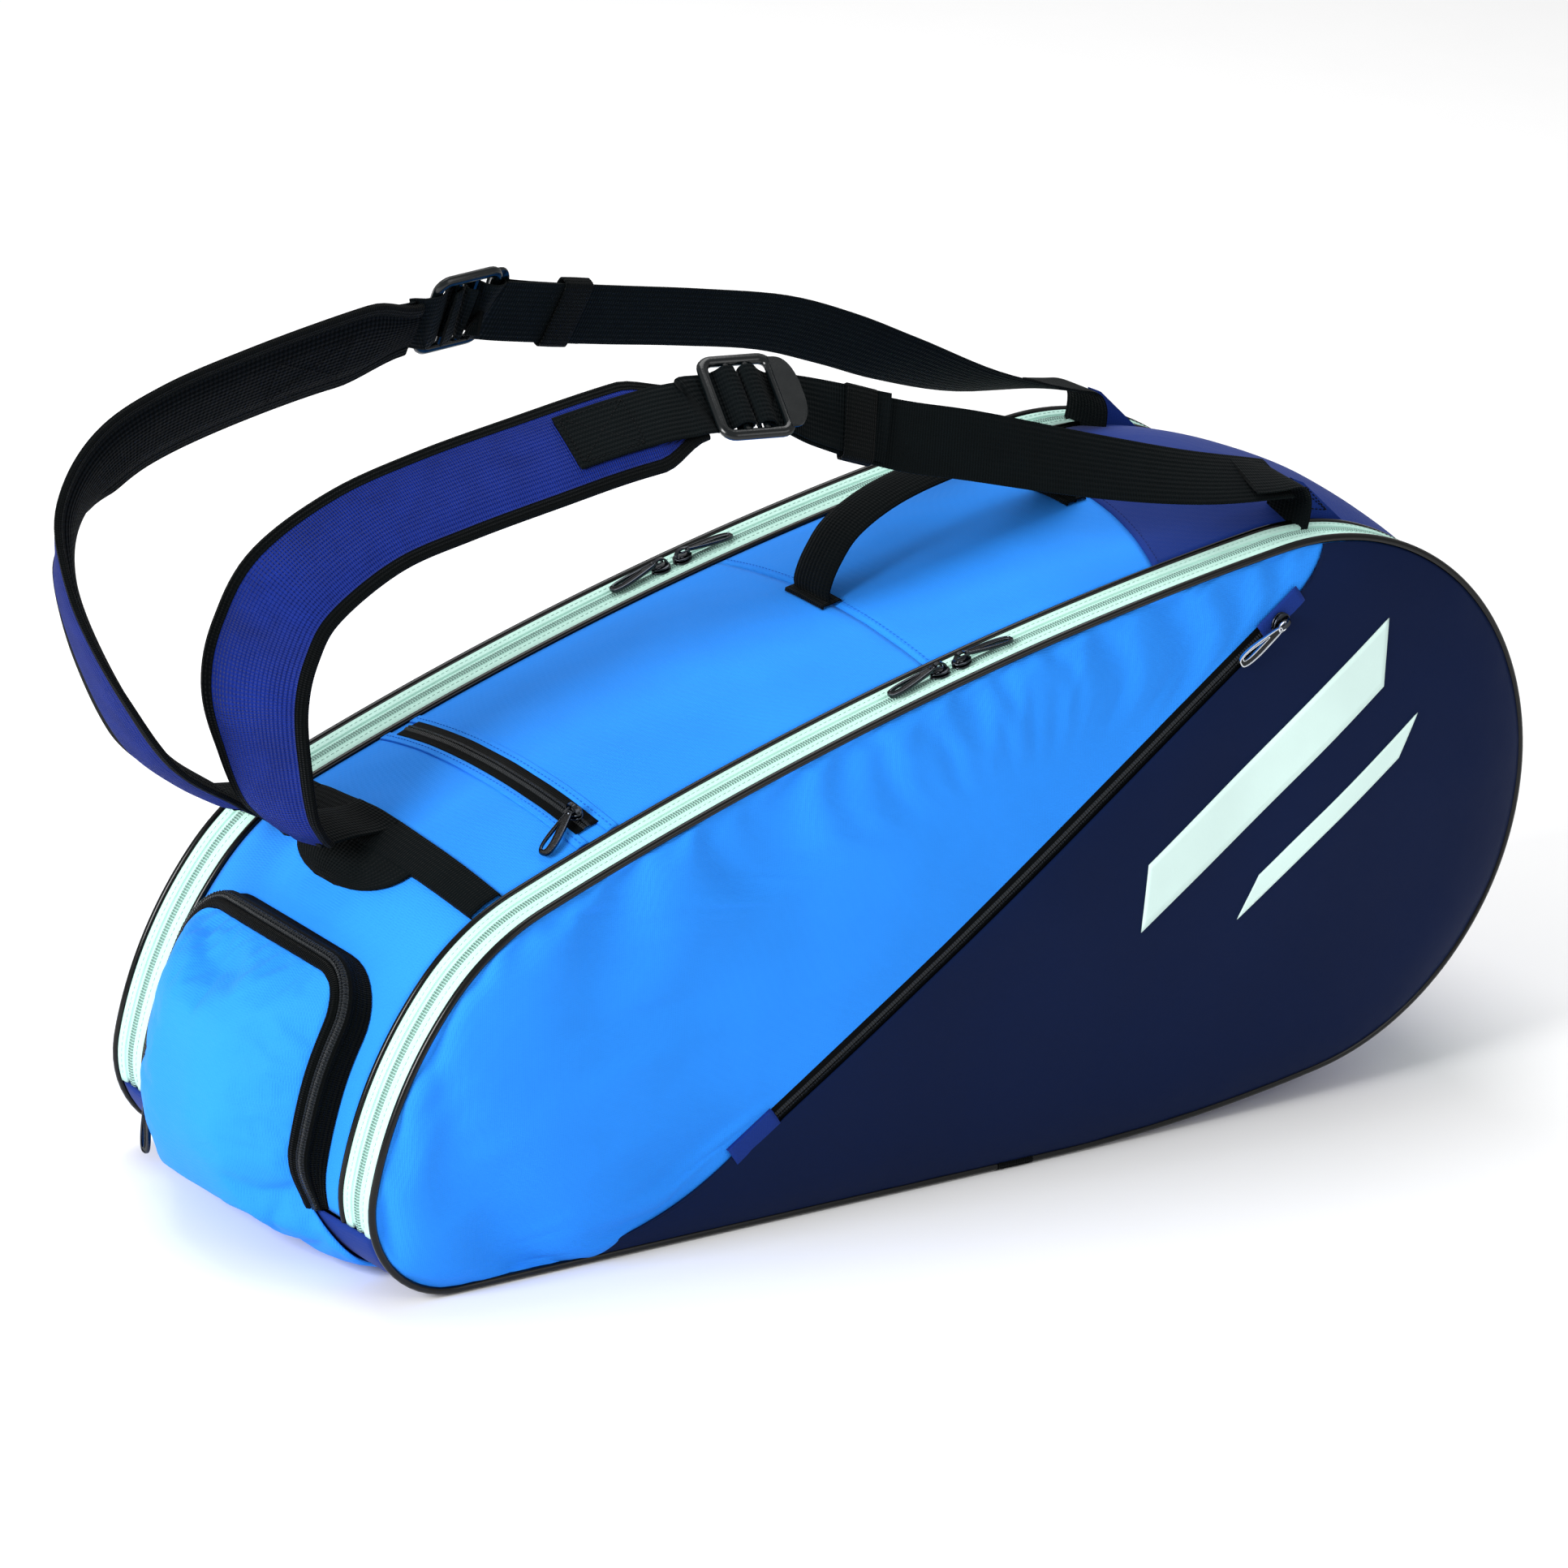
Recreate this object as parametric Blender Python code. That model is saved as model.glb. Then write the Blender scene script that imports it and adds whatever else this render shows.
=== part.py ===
"""Racket tournament bag: a flat, teardrop-shaped bag with two zipped main compartments.

Frame: X along the bag, racket-head end at +X; Y across it, decorated side at -Y; Z up.
The origin is the centre of the footprint, on the surface that the bag stands on. Metres.
"""
import math

import bpy
import bmesh
import numpy as np
from mathutils import Matrix, Vector

# ---------------------------------------------------------------- driving dimensions
BAG_WIDTH = 0.254                 # between the two outer pipings' centres
GAP = 0.0003                      # clearance between neighbouring pieces

# side outline, anticlockwise from the left of the flat base: (radius, degrees turned)
RISE_ARC = (1.08, 10.0)           # the base rising towards the racket-head end
END_ARC = (0.156, 178.2)          # round racket-head end
TOP_TURN = 13.2                   # the top's turn; its radius follows from closing the outline
SHOULDER_ARC = (0.128, 29.8)
FLANK_ARC = (0.212, 29.4)
CORNER_ARC = (0.0536, 99.4)       # small bottom corner at the handle end

PIPE_RADIUS = 0.0022
PIPE_OUT = 0.0005                 # the outer piping's centre, outside the outline
GROUND = PIPE_RADIUS + PIPE_OUT + 0.0004   # the outline's base stands this far off the ground

BAND = 0.0290                     # width of the zip band on each side
TAPE_TOP, TAPE_BOTTOM = -0.0005, -0.0020
TOOTH_TOP = 0.0008                # the coil stands proud of the tape
TOOTH_WIDTH = 0.0014
GUSSET_THICK = 0.0030
CROWN = 0.0120                    # rise of the gusset's middle over its edges
PANEL_THICK = 0.0040
POCKET_THICK = 0.0022

# features along the bag, as X positions on the top
SEAM_X = -0.018                   # cross seam under the handle's rear foot
YOKE_X = 0.142                    # where the navy end begins
ACCESSORY_X = -0.222              # cross zip of the small top pocket
ANCHOR_X = -0.290                 # webbing tape that carries both shoulder straps

PAD_WIDTH, PAD_THICK = 0.066, 0.0080
WEB_WIDTH, WEB_THICK = 0.038, 0.0020
OPEN_ZIP_LEFT = 0.276             # zip starts this far along the bottom corner's arc

# ---------------------------------------------------------------- clean scene
for old in list(bpy.data.objects):
    bpy.data.objects.remove(old, do_unlink=True)


# ---------------------------------------------------------------- materials
def material(name, colour, roughness, metallic=0.0):
    mat = bpy.data.materials.new(name)
    mat.use_nodes = True
    shader = mat.node_tree.nodes["Principled BSDF"]
    shader.inputs["Base Color"].default_value = (*colour, 1.0)
    shader.inputs["Roughness"].default_value = roughness
    shader.inputs["Metallic"].default_value = metallic
    return mat


BLUE = material("light_blue_polyester", (0.035, 0.32, 1.0), 0.60)
NAVY_PU = material("navy_pu", (0.012, 0.022, 0.085), 0.32)
NAVY = material("navy_polyester", (0.016, 0.020, 0.110), 0.60)
MINT = material("mint_zip_tape", (0.68, 0.86, 0.79), 0.65)
BLACK_WEB = material("black_webbing", (0.012, 0.014, 0.016), 0.75)
PIPING = material("black_piping", (0.010, 0.010, 0.012), 0.25)
COIL = material("black_zip", (0.012, 0.012, 0.014), 0.45)
PAD_BLUE = material("royal_blue_pad", (0.022, 0.038, 0.28), 0.80)
METAL = material("gunmetal", (0.10, 0.10, 0.11), 0.25, 0.9)
PLASTIC = material("black_plastic", (0.014, 0.018, 0.020), 0.35)
FOAM = material("grey_foam_lining", (0.10, 0.10, 0.12), 0.80)


# ---------------------------------------------------------------- mesh helpers
def finish(name, bm, mat, smooth=35.0):
    """Turn a bmesh into a named object with outward faces."""
    bmesh.ops.remove_doubles(bm, verts=bm.verts, dist=1e-6)
    bmesh.ops.recalc_face_normals(bm, faces=bm.faces)
    mesh = bpy.data.meshes.new(name)
    bm.to_mesh(mesh)
    bm.free()
    mesh.materials.append(mat)
    mesh.shade_smooth()
    mesh.set_sharp_from_angle(angle=math.radians(smooth))
    obj = bpy.data.objects.new(name, mesh)
    bpy.context.scene.collection.objects.link(obj)
    return obj


def loft(name, rings, mat, closed=False, smooth=35.0):
    """Skin a list of equal rings of points; capped at both ends unless it is closed."""
    bm = bmesh.new()
    loops = [[bm.verts.new(p) for p in ring] for ring in rings]
    count = len(loops[0])
    pairs = list(zip(loops, loops[1:]))
    if closed:
        pairs.append((loops[-1], loops[0]))
    for ring_a, ring_b in pairs:
        for i in range(count):
            j = (i + 1) % count
            bm.faces.new((ring_a[i], ring_a[j], ring_b[j], ring_b[i]))
    if not closed:
        bm.faces.new(loops[0])
        bm.faces.new(list(reversed(loops[-1])))
    return finish(name, bm, mat, smooth)


def plate(name, outline, y_low, y_high, mat):
    """Extrude an (x, z) outline between two Y planes."""
    rings = [[(x, y, z) for x, z in outline] for y in (y_low, y_high)]
    return loft(name, rings, mat)


def box(name, low, high, mat):
    outline = [(low[0], low[2]), (high[0], low[2]), (high[0], high[2]), (low[0], high[2])]
    return plate(name, outline, low[1], high[1], mat)


# ---------------------------------------------------------------- the side outline
class Outline:
    """Tangent chain of one straight and six arcs, closed by its base length and top radius."""

    def __init__(self):
        arcs = [RISE_ARC, END_ARC, (None, TOP_TURN), SHOULDER_ARC, FLANK_ARC, CORNER_ARC]
        heading = 0.0
        steps = []
        for radius, degrees in arcs:
            turned = heading + math.radians(degrees)
            steps.append(Vector((math.sin(turned) - math.sin(heading),
                                 math.cos(heading) - math.cos(turned))))
            heading = turned
        rest = Vector((0.0, 0.0))
        for (radius, _), step in zip(arcs, steps):
            if radius is not None:
                rest += step * radius
        top = steps[2]
        self.top_radius = -rest.y / top.y
        self.base = -rest.x - self.top_radius * top.x
        arcs[2] = (self.top_radius, TOP_TURN)

        # pieces: (start s, end s, start point, start heading, radius or None)
        self.pieces = [(0.0, self.base, Vector((0.0, 0.0)), 0.0, None)]
        place = Vector((self.base, 0.0))
        s, heading = self.base, 0.0
        for (radius, degrees), step in zip(arcs, steps):
            length = radius * math.radians(degrees)
            self.pieces.append((s, s + length, place.copy(), heading, radius))
            place += step * radius
            s += length
            heading += math.radians(degrees)
        self.total = s
        xs = [self.raw(k * s / 2000)[0].x for k in range(2000)]
        self.shift = -(min(xs) + max(xs)) / 2

    def raw(self, s):
        s = s % self.total if hasattr(self, "total") else s
        for start, end, place, heading, radius in self.pieces:
            if s <= end or (start, end) == self.pieces[-1][:2]:
                along = s - start
                if radius is None:
                    return place + Vector((along, 0.0)), heading
                turned = heading + along / radius
                centre = place + radius * Vector((-math.sin(heading), math.cos(heading)))
                return centre + radius * Vector((math.sin(turned), -math.cos(turned))), turned
        return None

    def at(self, s, out=0.0):
        """Point (x, z) at arc length s, moved outward by out."""
        place, heading = self.raw(s)
        normal = self.normal(s)
        return (place.x + self.shift + normal[0] * out, place.y + GROUND + normal[1] * out)

    def normal(self, s):
        heading = self.raw(s)[1]
        return (math.sin(heading), -math.cos(heading))

    def centre(self, index):
        """Centre of arc number index (1 is the rising arc)."""
        _, _, place, heading, radius = self.pieces[index]
        centre = place + radius * Vector((-math.sin(heading), math.cos(heading)))
        return (centre.x + self.shift, centre.y + GROUND)

    def join(self, index, part=0.0):
        """Arc length at a fraction of piece number index."""
        start, end = self.pieces[index][:2]
        return start + (end - start) * part

    def stations(self, s0, s1, coarse=1.0):
        """Arc lengths from s0 to s1, finer where the outline turns more."""
        marks = {s0, s1}
        for lap in (0.0, self.total):
            for start, end, _, _, radius in self.pieces:
                turn = 0.0 if radius is None else math.degrees((end - start) / radius)
                parts = max(1, math.ceil(turn / (9.0 * coarse)), math.ceil((end - start) / 0.10))
                for k in range(parts):
                    mark = lap + start + (end - start) * k / parts
                    if s0 + 0.004 < mark < s1 - 0.004:
                        marks.add(mark)
        return sorted(marks)

    def top_s(self, x):
        """Arc length of the point of the top at the given x."""
        low, high = self.join(2, 0.5), self.join(6)
        for _ in range(60):
            middle = (low + high) / 2
            if self.at(middle)[0] > x:
                low = middle
            else:
                high = middle
        return (low + high) / 2


SIDE = Outline()
ZIP_LEFT = SIDE.join(6, OPEN_ZIP_LEFT)    # lower left end of the main zips
ZIP_RIGHT = SIDE.join(2, 0.14)            # lower right end of the main zips
EDGE_Y = BAG_WIDTH / 2                    # outer piping's centre
INNER_Y = EDGE_Y - BAND                   # inner piping's centre
GUSSET_Y = INNER_Y - PIPE_RADIUS - GAP    # half width of the middle gusset
CLOSE_Y = EDGE_Y - BAND / 2               # closure line of the zip


def sweep(name, s0, s1, profile, mat, closed=False, coarse=1.0, smooth=35.0):
    """Sweep a profile of (out, y) points along the side outline."""
    stops = SIDE.stations(s0, s1, coarse)
    if closed:
        stops = stops[:-1]
    rings = []
    for s in stops:
        ring = []
        for out, y in profile:
            x, z = SIDE.at(s, out)
            ring.append((x, y, z))
        rings.append(ring)
    return loft(name, rings, mat, closed, smooth)


def round_profile(out, y, radius, sides=6):
    return [(out + radius * math.sin(2 * math.pi * k / sides),
             y + radius * math.cos(2 * math.pi * k / sides)) for k in range(sides)]


# ---------------------------------------------------------------- gusset shells
def crown_at(s, y):
    """Outward rise of the gusset at (s, y): none at its edges and none low down."""
    _, z = SIDE.at(s)
    height = min(1.0, max(0.0, (z - 0.03) / 0.12))
    ease = height * height * (3 - 2 * height)
    return CROWN * ease * (1.0 - (y / GUSSET_Y) ** 2)


def gusset(name, s0, s1, mat, coarse=1.0):
    """Crowned shell of the middle gusset between two stations."""
    across = [GUSSET_Y * (-1 + k / 3) for k in range(7)]
    rings = []
    for s in SIDE.stations(s0, s1, coarse):
        ring = []
        for side, ys in ((0.0, across), (-GUSSET_THICK, reversed(across))):
            for y in ys:
                x, z = SIDE.at(s, side + crown_at(s, y))
                ring.append((x, y, z))
        rings.append(ring)
    return loft(name, rings, mat)


S_YOKE = SIDE.top_s(YOKE_X)
S_SEAM = SIDE.top_s(SEAM_X)
S_ACCESSORY = SIDE.top_s(ACCESSORY_X)
S_ANCHOR = SIDE.top_s(ANCHOR_X)

gusset("racket_end_gusset", ZIP_RIGHT + GAP, S_YOKE - GAP, NAVY, 1.6)
gusset("top_gusset_middle", S_YOKE, S_SEAM - GAP, BLUE)
gusset("top_gusset_front", S_SEAM, S_ANCHOR - GAP, BLUE)
gusset("handle_end_gusset", S_ANCHOR, ZIP_LEFT - GAP, BLUE, 1.5)

# full-width base, flush with the pipings below and open above the zip ends
BASE_HALF = EDGE_Y - PIPE_RADIUS - GAP
base_profile = [(GROUND, -BASE_HALF), (GROUND, BASE_HALF), (-0.0015, BASE_HALF), (-0.0015, -BASE_HALF)]
sweep("bottom_gusset", ZIP_LEFT + GAP, SIDE.total + ZIP_RIGHT - GAP, base_profile, NAVY, coarse=1.2)

# stiffener board on the base, and the partition between the two compartments
BOARD_HIGH = GROUND + 0.0045
board_left, board_right = SIDE.shift + 0.004, SIDE.shift + SIDE.base - 0.004
box("base_board", (board_left, -0.112, GROUND + 0.0015 + GAP), (board_right, 0.112, BOARD_HIGH), FOAM)

DIVIDER_INSET = -0.0060


def divider_outline():
    """Side outline, drawn in and cut level above the base board."""
    points = []
    for s in SIDE.stations(SIDE.join(1, 0.0), SIDE.total + 0.0001):
        x, z = SIDE.at(s, DIVIDER_INSET)
        points.append((x, max(z, BOARD_HIGH + GAP)))
    return points


plate("centre_divider", divider_outline(), -0.0015, 0.0015, FOAM)


# ---------------------------------------------------------------- zip bands and pipings
def mirror_y(profile, side):
    """Profiles are drawn for the side at -Y; side is -1 there and +1 at the rear."""
    return [(out, -y * side) for out, y in profile]


tooth = CLOSE_Y + GAP / 2
outer_tape = [(TAPE_BOTTOM, -BASE_HALF), (TAPE_TOP, -BASE_HALF), (TAPE_TOP, -tooth - TOOTH_WIDTH),
              (TOOTH_TOP, -tooth - TOOTH_WIDTH), (TOOTH_TOP, -tooth), (TAPE_BOTTOM, -tooth)]
tooth_in = CLOSE_Y - GAP / 2
tape_end = INNER_Y + PIPE_RADIUS + GAP
inner_tape = [(TAPE_BOTTOM, -tape_end), (TAPE_TOP, -tape_end), (TAPE_TOP, -tooth_in + TOOTH_WIDTH),
              (TOOTH_TOP, -tooth_in + TOOTH_WIDTH), (TOOTH_TOP, -tooth_in), (TAPE_BOTTOM, -tooth_in)]

for side, word in ((-1, "front"), (1, "rear")):
    sweep(f"{word}_inner_piping", ZIP_RIGHT + GAP, ZIP_LEFT - GAP,
          mirror_y(round_profile(PIPE_OUT, -INNER_Y, PIPE_RADIUS), side), PIPING)
    sweep(f"{word}_zip_tape_inner", ZIP_RIGHT + GAP, ZIP_LEFT - GAP, mirror_y(inner_tape, side), MINT)
    sweep(f"{word}_zip_tape_outer", ZIP_RIGHT + GAP, ZIP_LEFT - GAP, mirror_y(outer_tape, side), MINT)
    sweep(f"{word}_outer_piping", 0.0, SIDE.total,
          mirror_y(round_profile(PIPE_OUT, -EDGE_Y, PIPE_RADIUS), side), PIPING, closed=True)

# ---------------------------------------------------------------- side panels
PANEL_INSET = PIPE_OUT - PIPE_RADIUS - 3 * GAP
PANEL_OUT_Y = EDGE_Y                      # outer face of both side panels
panel_outline = [SIDE.at(s, PANEL_INSET) for s in SIDE.stations(0.0, SIDE.total)[:-1]]
plate("front_side_panel", panel_outline, -PANEL_OUT_Y, -PANEL_OUT_Y + PANEL_THICK, BLUE)
plate("rear_side_panel", panel_outline, PANEL_OUT_Y - PANEL_THICK, PANEL_OUT_Y, BLUE)

# curved diagonal edge of the front pocket: low start, straight run, steeper top
DIAGONAL_LOW = Vector((-0.1461, 0.0510))
DIAGONAL_HIGH = Vector((0.1971, 0.2960))
FOOT = Vector((-0.2341, 0.0085))
HEAD = Vector((0.2214, 0.3205))


def curve_through(first, control, last, count):
    """Quadratic curve from first to last, pulled towards the control point."""
    points = []
    for k in range(count + 1):
        t = k / count
        points.append(first * (1 - t) ** 2 + control * 2 * t * (1 - t) + last * t * t)
    return points


foot_control = Vector((-0.185, 0.018))
foot_curve = curve_through(FOOT, foot_control, DIAGONAL_LOW, 4)
head_control = DIAGONAL_HIGH + (DIAGONAL_HIGH - DIAGONAL_LOW).normalized() * 0.014
head_curve = curve_through(DIAGONAL_HIGH, head_control, HEAD, 3)
ZIP_HALF = 0.0048                         # half width of the pocket's zip tape
along = (DIAGONAL_HIGH - DIAGONAL_LOW).normalized()
across = Vector((along.y, -along.x))      # towards the lower right

pocket_edge = [p + across * (ZIP_HALF + GAP) for p in foot_curve + head_curve]
POCKET_Y = PANEL_OUT_Y + GAP
pocket_outline = [(p.x, p.y) for p in pocket_edge]
s_head, s_foot = SIDE.top_s(pocket_edge[-1].x), SIDE.total + (pocket_edge[0].x - SIDE.shift)
pocket_outline[0] = SIDE.at(s_foot, PANEL_INSET - 0.0005)
pocket_outline[-1] = SIDE.at(s_head, PANEL_INSET - 0.0005)
rim = [SIDE.at(s, PANEL_INSET - 0.0005) for s in reversed(SIDE.stations(s_foot - SIDE.total, s_head))]
pocket_outline = pocket_outline[:-1] + rim[:-1]
plate("front_pocket_panel", pocket_outline, -POCKET_Y - POCKET_THICK, -POCKET_Y, NAVY_PU)


def strip(name, start, end, half_width, y_near, thick, mat):
    """Flat strip on the front panel between two (x, z) points."""
    direction = (end - start).normalized()
    side = Vector((direction.y, -direction.x)) * half_width
    outline = [tuple(p) for p in (start + side, end + side, end - side, start - side)]
    return plate(name, outline, -y_near - thick, -y_near, mat)


strip("pocket_zip_tape", DIAGONAL_LOW, DIAGONAL_HIGH, ZIP_HALF, POCKET_Y, 0.0014, COIL)

# two plain slanted trim bars lying along the diagonal
TRIM_THICK, TRIM_SHEAR = 0.0006, 0.012
TRIM_Y = POCKET_Y + POCKET_THICK + GAP


def trim_bar(name, start, length, half_width):
    """Parallelogram lying along the diagonal, its ends cut square to the ground."""
    corners = []
    for reach, offset in ((0.0, half_width), (length, half_width), (length, -half_width), (0.0, -half_width)):
        slant = TRIM_SHEAR * (1 if offset < 0 else -1)
        corners.append(tuple(start + along * (reach + slant) + across * offset))
    return plate(name, corners, -TRIM_Y - TRIM_THICK, -TRIM_Y, MINT)


trim_bar("trim_bar_long", Vector((0.104, 0.148)), 0.196, 0.0150)
trim_bar("trim_bar_short", Vector((0.176, 0.136)), 0.130, 0.0060)


# ---------------------------------------------------------------- zip sliders and pulls
SLIDER_LENGTH, SLIDER_WIDTH, SLIDER_HEIGHT = 0.0120, 0.0086, 0.0030
BAR_RADIUS, BAR_HEIGHT = 0.0007, 0.0060
EYE_RADIUS, EYE_HOLE = 0.0019, 0.0011
PULL_WIDTH, PULL_LENGTH = 0.0056, 0.0300
EAR_THICK = 0.0011


def extruded(bm, outline, y_low, y_high):
    """Add a closed prism with the given (x, z) outline to a bmesh."""
    rings = [[bm.verts.new((x, y, z)) for x, z in outline] for y in (y_low, y_high)]
    count = len(outline)
    for i in range(count):
        j = (i + 1) % count
        bm.faces.new((rings[0][i], rings[0][j], rings[1][j], rings[1][i]))
    bm.faces.new(rings[0])
    bm.faces.new(list(reversed(rings[1])))


def circle(x, z, radius, sides):
    return [(x + radius * math.cos(2 * math.pi * (k + 0.5) / sides),
             z + radius * math.sin(2 * math.pi * (k + 0.5) / sides)) for k in range(sides)]


def solid_mesh(name, prisms):
    """Boolean union of prisms, each (outline, y_low, y_high), as one mesh."""
    helpers = []
    for k, (outline, y_low, y_high) in enumerate(prisms):
        bm = bmesh.new()
        extruded(bm, outline, y_low, y_high)
        bmesh.ops.recalc_face_normals(bm, faces=bm.faces)
        mesh = bpy.data.meshes.new(f"{name}_part_{k}")
        bm.to_mesh(mesh)
        bm.free()
        helper = bpy.data.objects.new(f"{name}_part_{k}", mesh)
        bpy.context.scene.collection.objects.link(helper)
        helpers.append(helper)
    for helper in helpers[1:]:
        union = helpers[0].modifiers.new("union", "BOOLEAN")
        union.operation = "UNION"
        union.solver = "EXACT"
        union.object = helper
    graph = bpy.context.evaluated_depsgraph_get()
    result = bpy.data.meshes.new_from_object(helpers[0].evaluated_get(graph))
    result.name = name
    for helper in helpers:
        bpy.data.objects.remove(helper, do_unlink=True)
    result.shade_smooth()
    result.set_sharp_from_angle(angle=math.radians(35))
    return result


def slider_mesh():
    half, width = SLIDER_LENGTH / 2, SLIDER_WIDTH / 2
    body = [(-half, 0.0), (half, 0.0), (half, 0.0018), (half - 0.0025, SLIDER_HEIGHT),
            (-half + 0.0025, SLIDER_HEIGHT), (-half, 0.0018)]
    ear = [(-0.0016, SLIDER_HEIGHT - 0.0008), (0.0016, SLIDER_HEIGHT - 0.0008),
           (0.0013, BAR_HEIGHT + 0.0011), (-0.0013, BAR_HEIGHT + 0.0011)]
    bar = circle(0.0, BAR_HEIGHT, BAR_RADIUS, 8)
    return solid_mesh("zip_slider", [(body, -width, width), (ear, width - EAR_THICK, width - 0.0001),
                                     (ear, -width + 0.0001, -width + EAR_THICK),
                                     (bar, -width + 0.0005, width - 0.0005)])


def pull_mesh():
    """Eye round the slider's bar, with a flat tab along +X; origin on the bar."""
    bm = bmesh.new()
    sides, half = 10, PULL_WIDTH / 2
    outer = circle(0.0, 0.0, EYE_RADIUS, sides)
    inner = circle(0.0, 0.0, EYE_HOLE, sides)
    rings = {}
    for key, points in (("outer", outer), ("inner", inner)):
        rings[key] = [[bm.verts.new((x, y, z)) for x, z in points] for y in (-half, half)]
    tail = None
    for i in range(sides):
        j = (i + 1) % sides
        for row in (0, 1):
            bm.faces.new((rings["outer"][row][i], rings["outer"][row][j],
                          rings["inner"][row][j], rings["inner"][row][i]))
        face = bm.faces.new((rings["outer"][0][i], rings["outer"][0][j],
                             rings["outer"][1][j], rings["outer"][1][i]))
        if i == sides - 1:
            tail = face
        bm.faces.new((rings["inner"][0][i], rings["inner"][0][j],
                      rings["inner"][1][j], rings["inner"][1][i]))
    for reach in (0.55, 0.45):
        extruded_face = bmesh.ops.extrude_discrete_faces(bm, faces=[tail])["faces"][0]
        bmesh.ops.translate(bm, verts=extruded_face.verts, vec=(PULL_LENGTH * reach, 0, 0))
        tail = extruded_face
    bmesh.ops.remove_doubles(bm, verts=bm.verts, dist=1e-6)
    bmesh.ops.recalc_face_normals(bm, faces=bm.faces)
    mesh = bpy.data.meshes.new("zip_pull")
    bm.to_mesh(mesh)
    bm.free()
    mesh.shade_smooth()
    mesh.set_sharp_from_angle(angle=math.radians(35))
    return mesh


SLIDER_MESH = slider_mesh()
PULL_MESH = pull_mesh()
for shared in (SLIDER_MESH, PULL_MESH):
    shared.materials.clear()
    shared.materials.append(METAL)


def frame_matrix(place, forward, up):
    """Matrix whose X is forward and whose Z is up."""
    x_axis = Vector(forward).normalized()
    z_axis = (Vector(up) - x_axis * Vector(up).dot(x_axis)).normalized()
    y_axis = z_axis.cross(x_axis)
    rotation = Matrix((x_axis, y_axis, z_axis)).transposed().to_4x4()
    return Matrix.Translation(Vector(place)) @ rotation


RUNNER_PLACES = {}                        # where each slider stands


def zip_runner(name, place, forward, up, lift, hang=None):
    """A slider at a place on its track and its pull, lying along forward or hanging along hang."""
    up = Vector(up).normalized()
    base = frame_matrix(Vector(place) + up * lift, forward, up)
    slider = bpy.data.objects.new(f"{name}_slider", SLIDER_MESH)
    pull = bpy.data.objects.new(f"{name}_pull", PULL_MESH)
    for obj in (slider, pull):
        bpy.context.scene.collection.objects.link(obj)
    slider.matrix_world = base
    RUNNER_PLACES[name] = base
    bar = base @ Vector((0.0, 0.0, BAR_HEIGHT))
    pull.matrix_world = frame_matrix(bar, hang or base.to_3x3().col[0], up)


def track_frame(s, y):
    """Place on the zip's closure line, the direction towards +X, and the outward normal."""
    x, z = SIDE.at(s)
    nx, nz = SIDE.normal(s)
    return Vector((x, y, z)), Vector((nz, 0.0, -nx)), Vector((nx, 0.0, nz))


SLIDER_LIFT = TOOTH_TOP + GAP
for side, word in ((-1, "front"), (1, "rear")):
    for part, x_place, direction in (("left", -0.0200, -1), ("right", -0.0056, 1)):
        if word == "rear":
            x_place -= 0.024
        point, towards_x, out = track_frame(SIDE.top_s(x_place), side * CLOSE_Y)
        zip_runner(f"{word}_{part}", point, towards_x * direction, out, SLIDER_LIFT)

# front pocket slider, at the upper end of its tape
pocket_spot = DIAGONAL_HIGH - along * 0.0100
zip_runner("pocket", (pocket_spot.x, -POCKET_Y - 0.0014, pocket_spot.y), (-along.x, 0, -along.y),
           (0, -1, 0), GAP)


# ---------------------------------------------------------------- top pocket and strap anchor
def cross_strip(name, s, half_length, y_low, y_high, lift, thick, mat, parts=8):
    """Strip laid across the crowned gusset, half_length each way along the bag."""
    rings = []
    for k in range(parts + 1):
        y = y_low + (y_high - y_low) * k / parts
        ring = []
        for shift, out in ((-half_length, 0.0), (half_length, 0.0),
                           (half_length, thick), (-half_length, thick)):
            x, z = SIDE.at(s + shift, crown_at(s + shift, y) + lift + out)
            ring.append((x, y, z))
        rings.append(ring)
    return loft(name, rings, mat)


CROSS_REACH = GUSSET_Y - 0.0010
ACCESSORY_HALF, ACCESSORY_THICK = 0.0070, 0.0014
cross_strip("accessory_zip_tape", S_ACCESSORY, ACCESSORY_HALF, -0.086, 0.086, 0.0009,
            ACCESSORY_THICK, COIL)
CROWN_RADIUS = (GUSSET_Y ** 2 + CROWN ** 2) / (2 * CROWN)   # of the crowned cross section
accessory_y = -0.0760
x, z = SIDE.at(S_ACCESSORY, crown_at(S_ACCESSORY, accessory_y))
nx, nz = SIDE.normal(S_ACCESSORY)
lean = 2 * CROWN * accessory_y / GUSSET_Y ** 2
accessory_up = Vector((nx, lean, nz)).normalized()
zip_runner("accessory", (x, accessory_y, z), (-0.55, -0.25, -0.30), accessory_up,
           0.0009 + ACCESSORY_THICK + 3 * GAP)

ANCHOR_HALF, ANCHOR_THICK = 0.0100, 0.0022
cross_strip("strap_anchor_tape", S_ANCHOR, ANCHOR_HALF, -CROSS_REACH, CROSS_REACH, 0.0009,
            ANCHOR_THICK, BLACK_WEB)


# ---------------------------------------------------------------- shoe pocket on the handle end
SHOE_HALF = 0.0700                        # half width of the pocket cover
SHOE_TOP = SIDE.join(5, 0.18)             # arc length of its upper edge
SHOE_LOW = SIDE.join(6, OPEN_ZIP_LEFT) - 0.0040
SHOE_BULGE = 0.0200
SHOE_SEAT = 0.0006                        # clearance over the gusset


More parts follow.
